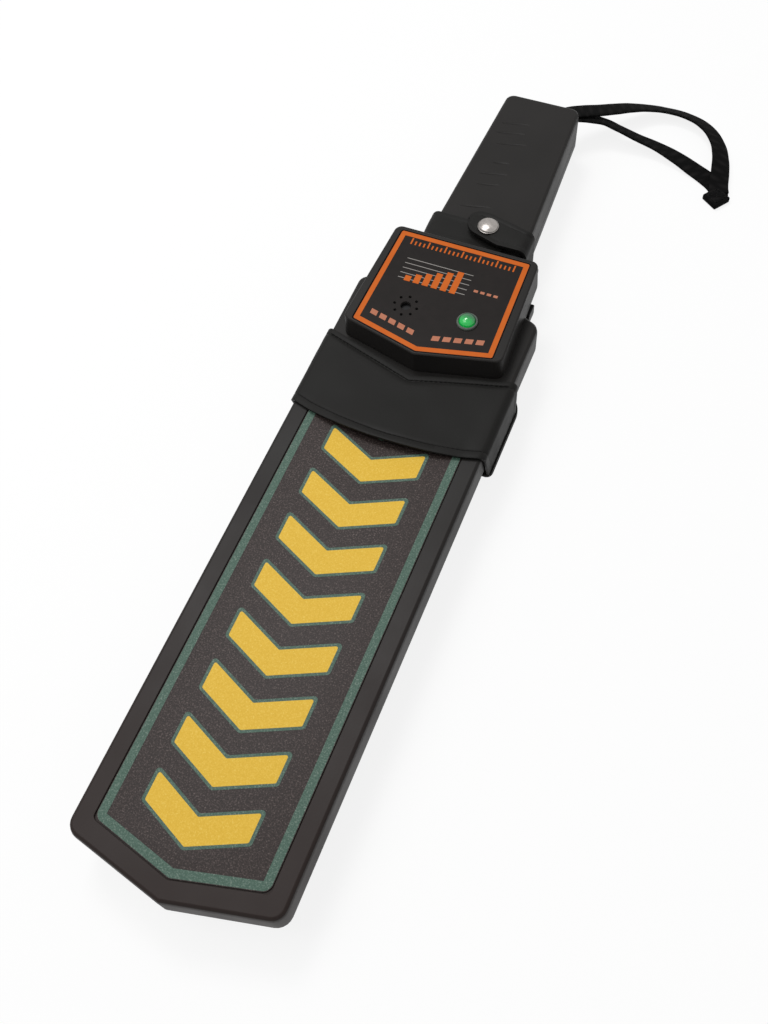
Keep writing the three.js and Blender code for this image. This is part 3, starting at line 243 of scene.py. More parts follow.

# %% [markdown]
# ## Films and printing inks
#
# The paddle carries a dark brown film with an embossed grain, whose lightest specks are painted
# glints, and the head a smooth polycarbonate film. Screen-printing inks are opaque and a little
# raised, and on the grained film they take its grain and painted glints too, so all of the paddle's
# inks share one grain function.

# %% Films and inks
def grained_film(name, dark, light, painted_glint, roughness=0.5):
    material, shader, place = finish(name, IOR=1.5)
    grain = add(material, "ShaderNodeTexNoise", {"Vector": place, "Scale": per(0.6), "Detail": 4.0,
                                                 "Roughness": 0.75})
    base = add(material, "ShaderNodeValToRGB", {"Fac": grain.outputs["Fac"]})
    ramp = base.color_ramp
    ramp.elements[0].position, ramp.elements[0].color = 0.34, paint(dark)
    ramp.elements[1].position, ramp.elements[1].color = 0.54, paint(light)
    # The lightest specks of the grain are painted glints.
    ramp.elements.new(0.68).color = paint(painted_glint)
    bump = add(material, "ShaderNodeBump", {
        "Height": grain.outputs["Fac"], "Strength": 0.6, "Distance": 0.12 * mm})
    shader.inputs["Roughness"].default_value = roughness
    shader.inputs["Specular IOR Level"].default_value = 0.22
    feed(material, shader, Base_Color=base.outputs["Color"], Normal=bump.outputs["Normal"])
    return material


def smooth_ink(name, low, high, roughness):
    material, shader, place = finish(name, Roughness=roughness, IOR=1.5)
    shader.inputs["Specular IOR Level"].default_value = 0.06
    drift = add(material, "ShaderNodeTexNoise", {"Vector": place, "Scale": per(4), "Detail": 5.0})
    colour = add(material, "ShaderNodeMix", {
        "Factor": drift.outputs["Fac"], "A": paint(low), "B": paint(high)}, data_type="RGBA")
    skin = add(material, "ShaderNodeTexNoise", {"Vector": place, "Scale": per(1.2), "Detail": 2.0})
    bump = add(material, "ShaderNodeBump", {
        "Height": skin.outputs["Fac"], "Strength": 0.2, "Distance": 0.03 * mm})
    feed(material, shader, Base_Color=colour.outputs["Result"], Normal=bump.outputs["Normal"])
    return material


label_film = grained_film("embossed_vinyl_film", "#1a1413", "#2b2220", "#665b58")
green_ink = grained_film("screen_ink_grey_green", "#344e42", "#445e52", "#7b897f")
yellow_ink = grained_film("screen_ink_yellow", "#d3a92c", "#dcb235", "#e6c65a")
panel_film = smooth_ink("polycarbonate_film", "#1f1d1c", "#282423", 0.34)
orange_ink = smooth_ink("screen_ink_orange", "#bd5a20", "#cd692a", 0.45)
pale_ink = smooth_ink("screen_ink_pale_grey", "#8a8682", "#9c9894", 0.45)
salmon_ink = smooth_ink("screen_ink_salmon", "#a8684f", "#be8067", 0.45)
print("films and inks:", label_film.name, panel_film.name, orange_ink.name)

# %% [markdown]
# ## Metals
#
# The snap fastener is pressed brass with bright nickel plating, and screws and rivets are zinc
# plated or bright steel. Metal has no colour of its own apart from its reflections, so what makes
# it look real is how the reflection is broken up: fine turned or pressed marks and light scratches.

# %% Metals
def plated_metal(name, low, high, roughness):
    material, shader, place = finish(name, Metallic=1.0)
    marks = add(material, "ShaderNodeTexNoise", {"Vector": place, "Scale": per(1.5), "Detail": 6.0})
    colour = add(material, "ShaderNodeMix", {
        "Factor": marks.outputs["Fac"], "A": paint(low), "B": paint(high)}, data_type="RGBA")
    gloss = add(material, "ShaderNodeMapRange", {
        "Value": marks.outputs["Fac"], "From Min": 0.3, "From Max": 0.7,
        "To Min": roughness * 0.7, "To Max": roughness * 1.4})
    bump = add(material, "ShaderNodeBump", {
        "Height": marks.outputs["Fac"], "Strength": 0.15, "Distance": 0.02 * mm})
    feed(material, shader, Base_Color=colour.outputs["Result"], Roughness=gloss.outputs["Result"],
         Normal=bump.outputs["Normal"])
    return material


nickel = plated_metal("bright_nickel_plate", "#8f8a86", "#a8a39f", 0.24)
steel = plated_metal("zinc_plated_steel", "#a7a9ab", "#c0c1c2", 0.32)
copper = plated_metal("enamelled_copper_wire", "#8e4a22", "#b5622d", 0.35)
print("metals:", nickel.name, steel.name, copper.name)

# %% [markdown]
# ## The lamp, the webbing and the pieces inside
#
# The lamp is a green light-emitting diode under a green dome. Its epoxy body glows, so it gets some
# emission as well as a green colour. The dome carries painted light: its green is bright and glows
# on its near side, and runs deep towards its far side. The wrist strap is woven nylon: black, matt,
# with a thread every 0.8 mm, and its colour is darker in the valleys of the weave as painted shade.
# The weave follows the strap, so it reads the strap's own UV map, which is laid out in metres along
# and across. The pieces inside the shells get the common finish of each.

# %% Lamp, webbing and inside finishes
def dome_painted_light(near, far):
    """Painted light: bright glowing green at the near side, deep green at the far side, along Y."""
    material, shader, place = finish("green_polycarbonate", IOR=1.58, Roughness=0.12)
    shader.inputs["Transmission Weight"].default_value = 0.15
    haze = add(material, "ShaderNodeTexNoise", {"Vector": place, "Scale": per(3), "Detail": 2.0})
    cloud = add(material, "ShaderNodeMath", {0: haze.outputs["Fac"], 1: 0.4}, operation="MULTIPLY")
    along = add(material, "ShaderNodeSeparateXYZ", {"Vector": place}).outputs["Y"]
    # Painted light: the green runs from bright at the near side to deep at the far side, and glows.
    share = add(material, "ShaderNodeMapRange", {
        "Value": along, "From Min": near * mm, "From Max": far * mm}, interpolation_type="SMOOTHSTEP")
    mixed = add(material, "ShaderNodeMix", {
        "Factor": share.outputs["Result"], "A": paint("#02b84c"), "B": paint("#24503a")},
        data_type="RGBA")
    colour = add(material, "ShaderNodeMix", {
        "Factor": cloud.outputs["Value"], "A": mixed.outputs["Result"], "B": paint("#12873f")},
        data_type="RGBA")
    feed(material, shader, Base_Color=colour.outputs["Result"], Emission_Color=mixed.outputs["Result"])
    shader.inputs["Emission Strength"].default_value = 0.25
    return material


def green_epoxy():
    material, shader, place = finish("green_epoxy", Roughness=0.2, IOR=1.55)
    cloud = add(material, "ShaderNodeTexNoise", {"Vector": place, "Scale": per(3), "Detail": 2.0})
    colour = add(material, "ShaderNodeMix", {
        "Factor": cloud.outputs["Fac"], "A": paint("#068a45"), "B": paint("#1fd67a")},
        data_type="RGBA")
    feed(material, shader, Base_Color=colour.outputs["Result"], Emission_Color=colour.outputs["Result"])
    shader.inputs["Emission Strength"].default_value = 0.35
    return material


def nylon_webbing():
    material, shader, _ = finish("woven_nylon_webbing", Roughness=0.8, IOR=1.5)
    shader.inputs["Specular IOR Level"].default_value = 0.04
    strands = add(material, "ShaderNodeUVMap", uv_map="UVMap")
    turned = add(material, "ShaderNodeMapping", {
        "Vector": strands.outputs["UV"], "Rotation": (0, 0, math.radians(38))})
    ribs = add(material, "ShaderNodeTexWave", {
        "Vector": turned.outputs["Vector"], "Scale": per(0.8) / 20, "Distortion": 0.6,
        "Detail": 2.0, "Detail Scale": per(0.5) / 20})
    weft = add(material, "ShaderNodeTexWave", {
        "Vector": strands.outputs["UV"], "Scale": per(0.8) / 20, "Distortion": 0.3},
        bands_direction="X")
    height = add(material, "ShaderNodeMath", {0: ribs.outputs["Fac"], 1: weft.outputs["Fac"]},
                 operation="MULTIPLY")
    # Painted shade: the colour is darker where the weave is low, between the strands.
    colour = add(material, "ShaderNodeMix", {
        "Factor": height.outputs["Value"], "A": paint("#0c0c0c"), "B": paint("#1a1919")},
        data_type="RGBA")
    bump = add(material, "ShaderNodeBump", {
        "Height": height.outputs["Value"], "Strength": 0.6, "Distance": 0.12 * mm})
    feed(material, shader, Base_Color=colour.outputs["Result"], Normal=bump.outputs["Normal"])
    return material


lamp_y = sum(corner.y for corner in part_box("lamp_lens")) / 2 / mm
dome_green_painted_light = dome_painted_light(lamp_y - 2.6, lamp_y + 2)
led_green = green_epoxy()
webbing = nylon_webbing()
satin_collar = moulded_abs("moulded_abs_collar", "#4d544f", "#687069", 0.3)
inside = {
    "board": moulded_abs("glass_epoxy_board", "#17492e", "#1f5d3b", 0.4),
    "chip": moulded_abs("moulded_epoxy_black", "#131314", "#1b1b1d", 0.45),
    "former": moulded_abs("moulded_polystyrene", "#cbc7bb", "#dcd8cc", 0.5),
    "foam": moulded_abs("polyurethane_foam", "#303236", "#3f4247", 0.95),
    "battery": moulded_abs("lacquered_steel_can", "#2b4560", "#35506b", 0.35),
    "lead_red": moulded_abs("pvc_red", "#8f1d17", "#a8281f", 0.4),
    "lead_black": moulded_abs("pvc_black", "#111112", "#18181a", 0.4),
    "ceramic": moulded_abs("glazed_ceramic", "#d8d0b9", "#e6dec8", 0.45),
}
print("inside finishes:", ", ".join(inside))

# %% [markdown]
# ## Helpers for meshes
#
# A bmesh becomes a piece in one place: it is shaded smooth, its edges above a given angle stay
# crisp, and it rides on its body and stands for the construction's plain solids.
# Moulded pieces keep the form of the construction. A copy has its loose triangles merged and its
# flat stretches cleaned, and then its outer edges are eased by a small bevel, as a mould cutter
# leaves them. Edges inside the shells, where a straight line outwards meets plastic again, stay
# crisp, and where two shells meet the edges are eased less, which leaves a fine parting line.
# Weighted normals keep the flats flat beside the bevels.

# %% Helpers for meshes
def place_piece(name, bm, material, body="wand", stands_for=(), slot=None, sharp=30):
    mesh = bpy.data.meshes.new(name)
    bm.to_mesh(mesh)
    bm.free()
    mesh.shade_smooth()
    mesh.set_sharp_from_angle(angle=math.radians(sharp))
    mesh.materials.append(material)
    piece = bpy.data.objects.new(name, mesh)
    bpy.context.scene.collection.objects.link(piece)
    if body:
        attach(piece, body)
    if stands_for:
        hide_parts(*stands_for)
    return piece


def outer_edges(bm):
    """The crisp convex edges that nothing of the same piece stands in front of."""
    shape = BVHTree.FromBMesh(bm)
    found = []
    for edge in bm.edges:
        if not edge.is_manifold or not edge.is_convex or edge.calc_face_angle() < math.radians(32):
            continue
        place = (edge.verts[0].co + edge.verts[1].co) / 2
        sides = [face.normal for face in edge.link_faces]
        outwards = (sides[0] + sides[1]).normalized()
        ways = [outwards] + [(0.9 * side + 0.1 * outwards).normalized() for side in sides]
        if all(shape.ray_cast(place + way * 0.02 * mm, way, 0.2)[0] is None for way in ways):
            found.append(edge)
    return found


def keep_broad_faces_flat(piece, broad=4 * mm * mm, most=math.radians(30)):
    """Makes the edges crisp where a broad face would take its shading from the end of a bevel."""
    shown = piece.evaluated_get(bpy.context.evaluated_depsgraph_get()).data
    for face in shown.polygons:
        if face.area < broad:
            continue
        for corner in face.loop_indices:
            if shown.corner_normals[corner].vector.angle(face.normal) > most:
                before = corner - 1 if corner > face.loop_start else face.loop_indices[-1]
                for near in (before, corner):
                    piece.data.edges[shown.loops[near].edge_index].use_edge_sharp = True


def eased_copy(name, node, ease, material, body="wand", slot="casing", segments=2, seam=None, leave=None):
    """A copy of a construction node with its outer edges bevelled by a small width.

    The edges at the height of a seam are eased less, and those in a box to leave stay crisp.
    """
    bm = bmesh.new()
    bm.from_mesh(nodes[node].data)
    bmesh.ops.remove_doubles(bm, verts=bm.verts, dist=0.01 * mm)
    bmesh.ops.dissolve_limit(bm, angle_limit=math.radians(0.5), verts=bm.verts, edges=bm.edges)

    def at_seam(edge):
        return seam is not None and all(abs(vert.co.z - seam) < 0.5 * mm for vert in edge.verts)

    def left_alone(edge):
        return leave and all(low * mm < vert.co[axis] < high * mm for vert in edge.verts
                             for axis, (low, high) in enumerate(leave))

    for width, wanted in ((0.12 * mm, at_seam), (ease, lambda edge: not at_seam(edge))):
        chosen = [edge for edge in outer_edges(bm) if wanted(edge) and not left_alone(edge)]
        if chosen:
            bmesh.ops.bevel(bm, geom=chosen, offset=width, offset_type="OFFSET", segments=segments,
                            profile=0.5, affect="EDGES", clamp_overlap=False, material=-1)
    piece = place_piece(name, bm, material, body, [node], slot, sharp=40)
    even = piece.modifiers.new("even_shading", "WEIGHTED_NORMAL")
    even.keep_sharp = True
    keep_broad_faces_flat(piece)
    return piece


grip_grooves = ((-20, 5), (118, 192), (29, 32))
front = eased_copy("front_cover_shell", "front_cover", 0.32 * mm, abs_casing, seam=17.05 * mm,
                   leave=grip_grooves)
rear = eased_copy("rear_cover_shell", "rear_cover", 0.2 * mm, abs_casing, seam=16.75 * mm)
door = eased_copy("battery_door_shell", "battery_door", 0.12 * mm, abs_casing, "battery_door")
push = eased_copy("push_button_cap", "push_button", 0.4 * mm, abs_button, "push_button", "button")
knob = eased_copy("power_slide_cap", "slide_switch_knob", 0.18 * mm, abs_button, "power_slide",
                  "button")
for shell in (front, rear, door, push, knob):
    print(shell.name, len(shell.data.polygons), "faces")

# %% [markdown]
# ## Flat outlines
#
# Films, prints and leather panels all start as one flat face. Its corners are points, and each is
# rounded by a bevel on that vertex alone. Extruding the face gives a slab. A frame line is the strip
# between two such outlines: their corners are moved inwards first and rounded after, so that the
# line keeps its width round every corner.

# %% Outlines, slabs and frame lines
def outline_face(bm, corners, height, arc=6):
    """A flat face through [x, y, radius] corners, in millimetres, at a height in metres."""
    verts = [bm.verts.new((x * mm, y * mm, height)) for x, y, _ in corners]
    bm.faces.new(verts)
    for vert, (_, _, radius) in zip(verts, corners):
        if radius:
            before, after = [edge.other_vert(vert).co - vert.co for edge in vert.link_edges]
            reach = radius * mm / math.tan(before.angle(after) / 2)
            bmesh.ops.bevel(bm, geom=[vert], offset=reach, offset_type="OFFSET", segments=arc,
                            profile=0.5, affect="VERTICES", clamp_overlap=False, material=-1)
    return bm.faces[:]


def raise_faces(bm, thickness):
    """Extrudes every face of a flat bmesh upwards into a closed slab."""
    made = bmesh.ops.extrude_face_region(bm, geom=bm.faces[:])["geom"]
    top = [part for part in made if isinstance(part, bmesh.types.BMVert)]
    bmesh.ops.translate(bm, vec=(0, 0, thickness), verts=top)
    bmesh.ops.recalc_face_normals(bm, faces=bm.faces)


def slab(name, corners, low, high, material, ease=0, **more):
    """A flat piece between two heights, with eased rims."""
    bm = bmesh.new()
    outline_face(bm, corners, low)
    raise_faces(bm, high - low)
    if ease:
        rims = [edge for edge in bm.edges if edge.calc_face_angle() > math.radians(60)
                and abs(edge.verts[0].co.z - edge.verts[1].co.z) < ease]
        bmesh.ops.bevel(bm, geom=rims, offset=ease, offset_type="OFFSET", segments=3,
                        profile=0.5, affect="EDGES", clamp_overlap=True, material=-1)
    return place_piece(name, bm, material, **more)


def inset_corners(corners, distance):
    """The corners of the same outline moved inwards, each round one about its own centre."""
    points = [Vector((x, y)) for x, y, _ in corners]
    moved = []
    for i, (x, y, radius) in enumerate(corners):
        before = (points[i] - points[i - 1]).normalized()
        after = (points[(i + 1) % len(points)] - points[i]).normalized()
        inward = Vector((-before.y - after.y, before.x + after.x)) / (1 + before.dot(after))
        place = points[i] + inward * distance
        turn = before.x * after.y - before.y * after.x
        moved.append([*place, max(radius - math.copysign(distance, turn), 0.2) if radius else 0])
    return moved


def frame_line(name, corners, margin, width, low, high, material, **more):
    """A printed line of one width, in millimetres, that follows an outline at a margin inside it."""
    bm = bmesh.new()
    for inset in (margin, margin + width):
        outline_face(bm, inset_corners(corners, inset), low)
    bmesh.ops.delete(bm, geom=bm.faces[:], context="FACES_ONLY")
    bmesh.ops.bridge_loops(bm, edges=bm.edges[:])
    raise_faces(bm, high - low)
    return place_piece(name, bm, material, **more)


def both_sides(corners):
    """The corners of the right half, bottom to top, and their mirror images."""
    return corners + [[-x, y, radius] for x, y, radius in reversed(corners) if x > 0]


print("a frame line bridges two outlines, one inside the other")

# %% [markdown]
# ## The paddle's label
#
# The label is a film that lies in a shallow recess. A grey-green line runs along its edge, and its
# middle carries a row of broad yellow chevrons with grey-green edges, which point to the tip. Inks
# lie on the film in a layer of a few hundredths of a millimetre, the yellow over the green.

# %% Label film and its prints
ink = 0.04 * mm
label_low, label_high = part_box("paddle_label")
label_half, label_start = label_high.x / mm, label_low.y / mm
label_rise, label_point, label_end = 8.7, 8.1, label_high.y / mm + 0.5
label_corners = both_sides([
    [0, label_start, 3], [label_half, label_start + label_rise, 3.6],
    [label_half, label_end, 1.7], [0, label_end - label_point, 0]])
slab("label_film", label_corners, label_low.z, label_high.z, label_film, 0.08 * mm,
     stands_for=["paddle_label"], slot="label")
frame_line("label_frame_line", label_corners, 0.3, 3.3, label_high.z - ink,
           label_high.z + ink, green_ink, slot="label")


def chevron_print(name, half, start, thickness, rise, radius, low, high, material):
    """One chevron that points to the tip."""
    corners = [[0, start, radius], [half, start + rise, radius],
               [half, start + rise + thickness, radius], [0, start + thickness, radius],
               [-half, start + rise + thickness, radius], [-half, start + rise, radius]]
    return slab(name, corners, low, high, material, slot="label")


chevrons = {"count": 9, "first": -185, "pitch": 22.3, "half": 20.5, "rise": 9.5, "thick": 11, "edge": 1.3}
for index in range(chevrons["count"]):
    start = chevrons["first"] + index * chevrons["pitch"]
    edge = chevrons["edge"]
    chevron_print(f"label_chevron_edge_{index + 1}", chevrons["half"] + edge, start - edge,
                  chevrons["thick"] + 2 * edge, chevrons["rise"] + edge / 2, 1.6,
                  label_high.z - ink, label_high.z + ink, green_ink)
    chevron_print(f"label_chevron_{index + 1}", chevrons["half"], start, chevrons["thick"],
                  chevrons["rise"], 0.8, label_high.z, label_high.z + 2 * ink, yellow_ink)
print("chevrons on the label:", chevrons["count"])

# %% [markdown]
# ## The head's panel
#
# The head's film is smooth black polycarbonate with an orange frame line. Where a maker would print
# a name, this one has a plain scale: bars that grow over pale ruled lines, as on a level display, a
# row of ticks, and two rows of short dashes that follow the point of the frame.

# %% Panel film and its prints
panel_low, panel_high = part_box("head_overlay")
eased_copy("head_panel_film", "head_overlay", 0.06 * mm, panel_film, slot="overlay", segments=1)
panel_half = panel_high.x / mm
panel_point, panel_end = panel_low.y / mm, panel_high.y / mm
panel_rise, panel_taper = 7.5, 1.6
panel_corners = both_sides([
    [0, panel_point, 0.8], [panel_half, panel_point + panel_rise, 1],
    [panel_half - panel_taper, panel_end, 1]])
frame_line("panel_frame_line", panel_corners, 0.2, 2.25, panel_high.z - ink,
           panel_high.z + ink, orange_ink, slot="overlay")


def printed_marks(name, marks, material, layers=1):
    """Several printed bars as one piece. Each mark is its corners in millimetres."""
    bm = bmesh.new()
    for corners in marks:
        bm.faces.new([bm.verts.new((x * mm, y * mm, panel_high.z - ink)) for x, y in corners])
    raise_faces(bm, (1 + layers) * ink)
    return place_piece(name, bm, material, slot="overlay")


def bar(x, y, width, height):
    return [(x, y), (x + width, y), (x + width, y + height), (x, y + height)]


ticks = [bar(-24 + 2 * i, 86.3, 0.7, 3.6 if i % 4 == 0 else 2.2) for i in range(25)]
levels = [bar(-19 + 4.2 * i, 66, 2.8, 3 + 1.9 * i) for i in range(6)]
rules = [bar(-22, 67 + 2.8 * i, 31, 0.35) for i in range(5)]
scale_marks = [bar(12 + 3 * i, 70, 1.9, 1.3) for i in range(4)]
dashes = []
for side in (-1, 1):
    for i in range(5):
        x = 4.2 + 4.6 * i
        low = panel_point + 6.4 + panel_rise * x / panel_half
        lift = panel_rise * 3.2 / panel_half
        quad = [(x, low), (x + 3.2, low + lift), (x + 3.2, low + lift + 2.6), (x, low + 2.6)]
        dashes.append([(side * a, b) for a, b in (quad if side > 0 else reversed(quad))])
printed_marks("panel_scale_ticks", ticks, orange_ink)
printed_marks("panel_rules", rules, pale_ink)
printed_marks("panel_level_bars", levels, orange_ink, 2)
printed_marks("panel_small_scale", scale_marks, salmon_ink)
printed_marks("panel_dashes", dashes, salmon_ink)
print("marks on the panel:", len(ticks) + len(levels) + len(rules) + len(scale_marks) + len(dashes))

# %% [markdown]
# ## Turned pieces
#
# The lamp's collar and dome, the snap fastener and the rivets are round, so each is a profile spun
# about an upright axis. A full spin joins its last copy to the first, and the poles are closed by
# merging their doubles, before the normals are turned outwards.

# %% Turned pieces
def spun(name, profile, centre, material, steps=48, sharp=35, **more):
    """Spins a profile of (radius, height) points, in metres, about the vertical at a centre."""
    bm = bmesh.new()
    line = [bm.verts.new((radius, 0, height)) for radius, height in profile]
    edges = [bm.edges.new(pair) for pair in zip(line, line[1:])]
    bmesh.ops.spin(bm, geom=line + edges, axis=(0, 0, 1), cent=(0, 0, 0), steps=steps,
                   angle=2 * math.pi, use_merge=True)
    bmesh.ops.remove_doubles(bm, verts=bm.verts, dist=0.001 * mm)
    bmesh.ops.recalc_face_normals(bm, faces=bm.faces)
    bmesh.ops.translate(bm, vec=(centre[0], centre[1], 0), verts=bm.verts)
    return place_piece(name, bm, material, sharp=sharp, **more)


def arc(radius, rise, low, points, start=0.0, end=90.0):
    """Points of a quarter ellipse from its rim to its crown."""
    turns = [math.radians(start + (end - start) * i / points) for i in range(points + 1)]
    return [(radius * math.cos(turn), low + rise * math.sin(turn)) for turn in turns]


def middle(node):
    low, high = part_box(node)
    return (low + high) / 2, low, high


lamp_centre, collar_low, collar_high = middle("lamp_bezel")
bore, tube, rim = 3.75 * mm, 4.2 * mm, 4.6 * mm
film_top = panel_high.z
spun("lamp_collar", [
    (bore, collar_low.z), (tube, collar_low.z), (tube, film_top), (rim, film_top),
    (rim, collar_high.z - 0.45 * mm), (rim - 0.12 * mm, collar_high.z - 0.2 * mm),
    (rim - 0.4 * mm, collar_high.z), (bore + 0.15 * mm, collar_high.z),
    (bore, collar_high.z - 0.15 * mm), (bore, collar_low.z)],
    lamp_centre, satin_collar, stands_for=["lamp_bezel"], slot="bezel")
_, lens_low, lens_high = middle("lamp_lens")
lens_radius, lens_wall = 3.6 * mm, 0.6 * mm
crown = lens_high.z - collar_high.z
spun("lamp_dome", [(lens_radius - lens_wall, lens_low.z), (lens_radius, lens_low.z)]
     + arc(lens_radius, crown, collar_high.z, 12)
     + arc(lens_radius - lens_wall, crown - lens_wall, collar_high.z, 12)[::-1]
     + [(lens_radius - lens_wall, lens_low.z)],
     lamp_centre, dome_green_painted_light, sharp=60, stands_for=["lamp_lens"], slot="lens")
_, bulb_low, bulb_high = middle("green_lamp")
bulb, flange = 2.4 * mm, 2.9 * mm
shoulder = collar_low.z - 0.5 * mm
spun("lamp_body", [(0, shoulder - mm), (flange, shoulder - mm), (flange, shoulder), (bulb, shoulder)]
     + arc(bulb, bulb, bulb_high.z - bulb, 12), lamp_centre, led_green, sharp=50, slot="glow")
print("lamp dome stands", round((lens_high.z - panel_high.z) / mm, 1), "mm over the panel")

# %% [markdown]
# ## Leather sheets
#
# A strap or band is a sheet that is bent along one direction. Its profile is drawn once as a line
# of edges, which is extruded row by row across its width. A function then moves each point to where
# the leather really lies: along a curved hem, over a bulge, round a tip. A Solidify modifier gives
# the hide its thickness and a Bevel modifier rounds its cut edges.

# %% Leather sheets
def rounded_path(corners, steps=6):
    """Points along [x, z, radius] corners, in millimetres, with each corner rounded."""
    points = []
    for i, (x, z, radius) in enumerate(corners):
        here = Vector((x, z))
        if not radius:
            points.append(here)
            continue
        to_before = (Vector(corners[i - 1][:2]) - here).normalized()
        to_after = (Vector(corners[i + 1][:2]) - here).normalized()
        bend = to_before.angle(to_after)
        centre = here + (to_before + to_after).normalized() * radius / math.sin(bend / 2)
        start = here + to_before * radius / math.tan(bend / 2) - centre
        turn = math.copysign(math.pi - bend, to_after.x * to_before.y - to_after.y * to_before.x)
        for k in range(steps + 1):
            points.append(centre + Matrix.Rotation(turn * k / steps, 2) @ start)
    return points


def filled(points, spacing):
    """The same line with points no further apart than a spacing, in millimetres."""
    line = [points[0]]
    for before, after in zip(points, points[1:]):
        count = max(1, math.ceil((after - before).length / spacing))
        line += [before.lerp(after, k / count) for k in range(1, count + 1)]
    return line


def hide(name, profile, rows, fit, thickness, offset, body="wand", edge=0.45, **more):
    """A leather sheet: a profile of (x, z) millimetres, run through rows from 0 to 1 and fitted."""
    bm = bmesh.new()
    line = [bm.verts.new((point.x, rows[0], point.y)) for point in profile]
    edges = [bm.edges.new(pair) for pair in zip(line, line[1:])]
    for before, after in zip(rows, rows[1:]):
        made = bmesh.ops.extrude_edge_only(bm, edges=edges)["geom"]
        verts = [part for part in made if isinstance(part, bmesh.types.BMVert)]
        edges = [part for part in made if isinstance(part, bmesh.types.BMEdge)
                 and all(vert in verts for vert in part.verts)]
        bmesh.ops.translate(bm, vec=(0, after - before, 0), verts=verts)
    for vert in bm.verts:
        vert.co = Vector(fit(vert.co.x, vert.co.y, vert.co.z)) * mm
    bmesh.ops.recalc_face_normals(bm, faces=bm.faces)
    piece = place_piece(name, bm, leather, body, slot="leather", sharp=180, **more)
    skin = piece.modifiers.new("thickness", "SOLIDIFY")
    skin.thickness = thickness * mm
    skin.offset = offset
    cut = piece.modifiers.new("cut_edges", "BEVEL")
    cut.width, cut.segments, cut.limit_method = edge * mm, 3, "ANGLE"
    cut.angle_limit = math.radians(50)
    return piece


def shares(*places):
    """Row places as shares from 0 to 1, from places along a width in millimetres."""
    return [place / places[-1] for place in places]


print("a hide starts as a line of edges")

# %% [markdown]
# ## The band over the paddle
#
# The band is the mouth of the holster. It is sewn to the back panel by a flange on each side, rises
# round the paddle's edges and crosses its front. Its lower hem bows away from the paddle in the
# middle, both hems are turned in and sewn, so a shallow groove runs beside each edge, and the wide
# front has the soft dents of used leather.

# %% Band
paddle_front, back = 30.9, 8.9
band = {"inner": 42.8, "flange": 1.9, "thick": 1.2, "start": -9, "sides": 7, "long": 35, "end_rise": 12,
        "slant": 6.5, "bulge": 2.6, "bulge_half": 34, "radius": 2.2, "hem": 3.2, "groove": 0.5}
band_profile = filled(rounded_path([
    [band["inner"] + band["flange"], back, 0], [band["inner"], back, 0.9],
    [band["inner"], paddle_front + 0.3, band["radius"]], [-band["inner"], paddle_front + 0.3, band["radius"]],
    [-band["inner"], back, 0.9], [-band["inner"] - band["flange"], back, 0]]), 2.2)
band_rows = shares(0, 0.7, 2.2, 2.8, 3.2, 3.6, 4.4, 6, 8.5, 11.5, 15, 19, 23, 26.5, 29, 30.8, 31.5, 31.9,
                   32.3, 33, 34.3, 35)


def band_fit(x, share, z):
    reach = min(abs(x) / band["inner"], 1)
    down = min(max((paddle_front - z) / (paddle_front - back), 0), 1)
    low = band["start"] + band["sides"] * reach * reach + band["slant"] * down
    high = band["start"] + band["long"] + band["end_rise"] * reach
    y = low + (high - low) * share
    crown = max(1 - (x / band["bulge_half"]) ** 2, 0)
    on_top = z > paddle_front
    lift = band["bulge"] * crown * (1 - share) ** 2 if on_top else 0
    dent = 0.28 * noise.noise(Vector((x / 17, y / 12, 3.1))) + 0.1 * noise.noise(Vector((x / 6, y / 5, 9)))
    from_hem = min(abs(y - low - band["hem"]), abs(high - y - band["hem"]))
    groove = band["groove"] * max(0, 1 - from_hem / 0.7)
    roll = 0.35 * max(0, 1 - abs(y - low - 1.5) / 1.4)
    if on_top:
        return x, y, z + lift + max(dent, -0.2) + 0.15 - groove + roll
    side = math.copysign(1, x)
    return x + side * (0.6 * max(dent, -0.1) + 0.06 - 0.4 * groove) * (z > back + 1), y, z


band_piece = hide("holster_band_leather", band_profile, band_rows, band_fit, band["thick"], 1,
                  stands_for=["holster_band"])
print(band_piece.name, len(band_piece.data.polygons), "faces before its thickness")

# %% [markdown]
# ## The back panel and the belt loop
#
# The panel is a flat hide under the wand, cut to a taper towards the handle. The belt loop is a
# strip under it, riveted at both ends and standing off between them, so that a belt passes through.

# %% Back panel and belt loop
def thousandths(value):
    return value / mm


_, back_low, back_high = middle("holster_back")
holster_half, holster_neck = thousandths(back_high.x), 27.2
holster_corners = both_sides([
    [holster_half, thousandths(back_low.y), 3], [holster_half, 41, 12], [holster_neck, 65, 12],
    [holster_neck, thousandths(back_high.y), 3]])
panel_piece = slab("holster_panel_leather", holster_corners, back_low.z, back_high.z, leather,
                   0.5 * mm, stands_for=["holster_back"], slot="leather")

_, loop_low, loop_high = middle("belt_loop")
loop_y = [thousandths(loop_low.y), thousandths(loop_high.y)]
loop_top, loop_thick, loop_tab, loop_slope = thousandths(loop_high.z), 1.8, 9, 6
loop_profile = filled(rounded_path([
    [loop_y[0], loop_top, 0], [loop_y[0] + loop_tab, loop_top, 1.6],
    [loop_y[0] + loop_tab + loop_slope, loop_thick, 1.6],
    [loop_y[1] - loop_tab - loop_slope, loop_thick, 1.6],
    [loop_y[1] - loop_tab, loop_top, 1.6], [loop_y[1], loop_top, 0]]), 3)
loop_half = thousandths(loop_high.x)
loop_rows = shares(0, 0.8, 2.4, 2.9, 3.4, 6, 14, 20, 26, 34, 36.6, 37.1, 37.6, 39.2, 40)


def loop_fit(along, share, z):
    across = (share * 2 - 1) * loop_half
    groove = 0.25 * max(0, 1 - abs(abs(across) - loop_half + 2.9) / 0.6)
    return across, along, z + groove * (z < loop_top - 1)


loop_piece = hide("belt_loop_leather", loop_profile, loop_rows, loop_fit, loop_thick, 1,
                  stands_for=["belt_loop"])
print("panel and loop:", panel_piece.name, loop_piece.name)
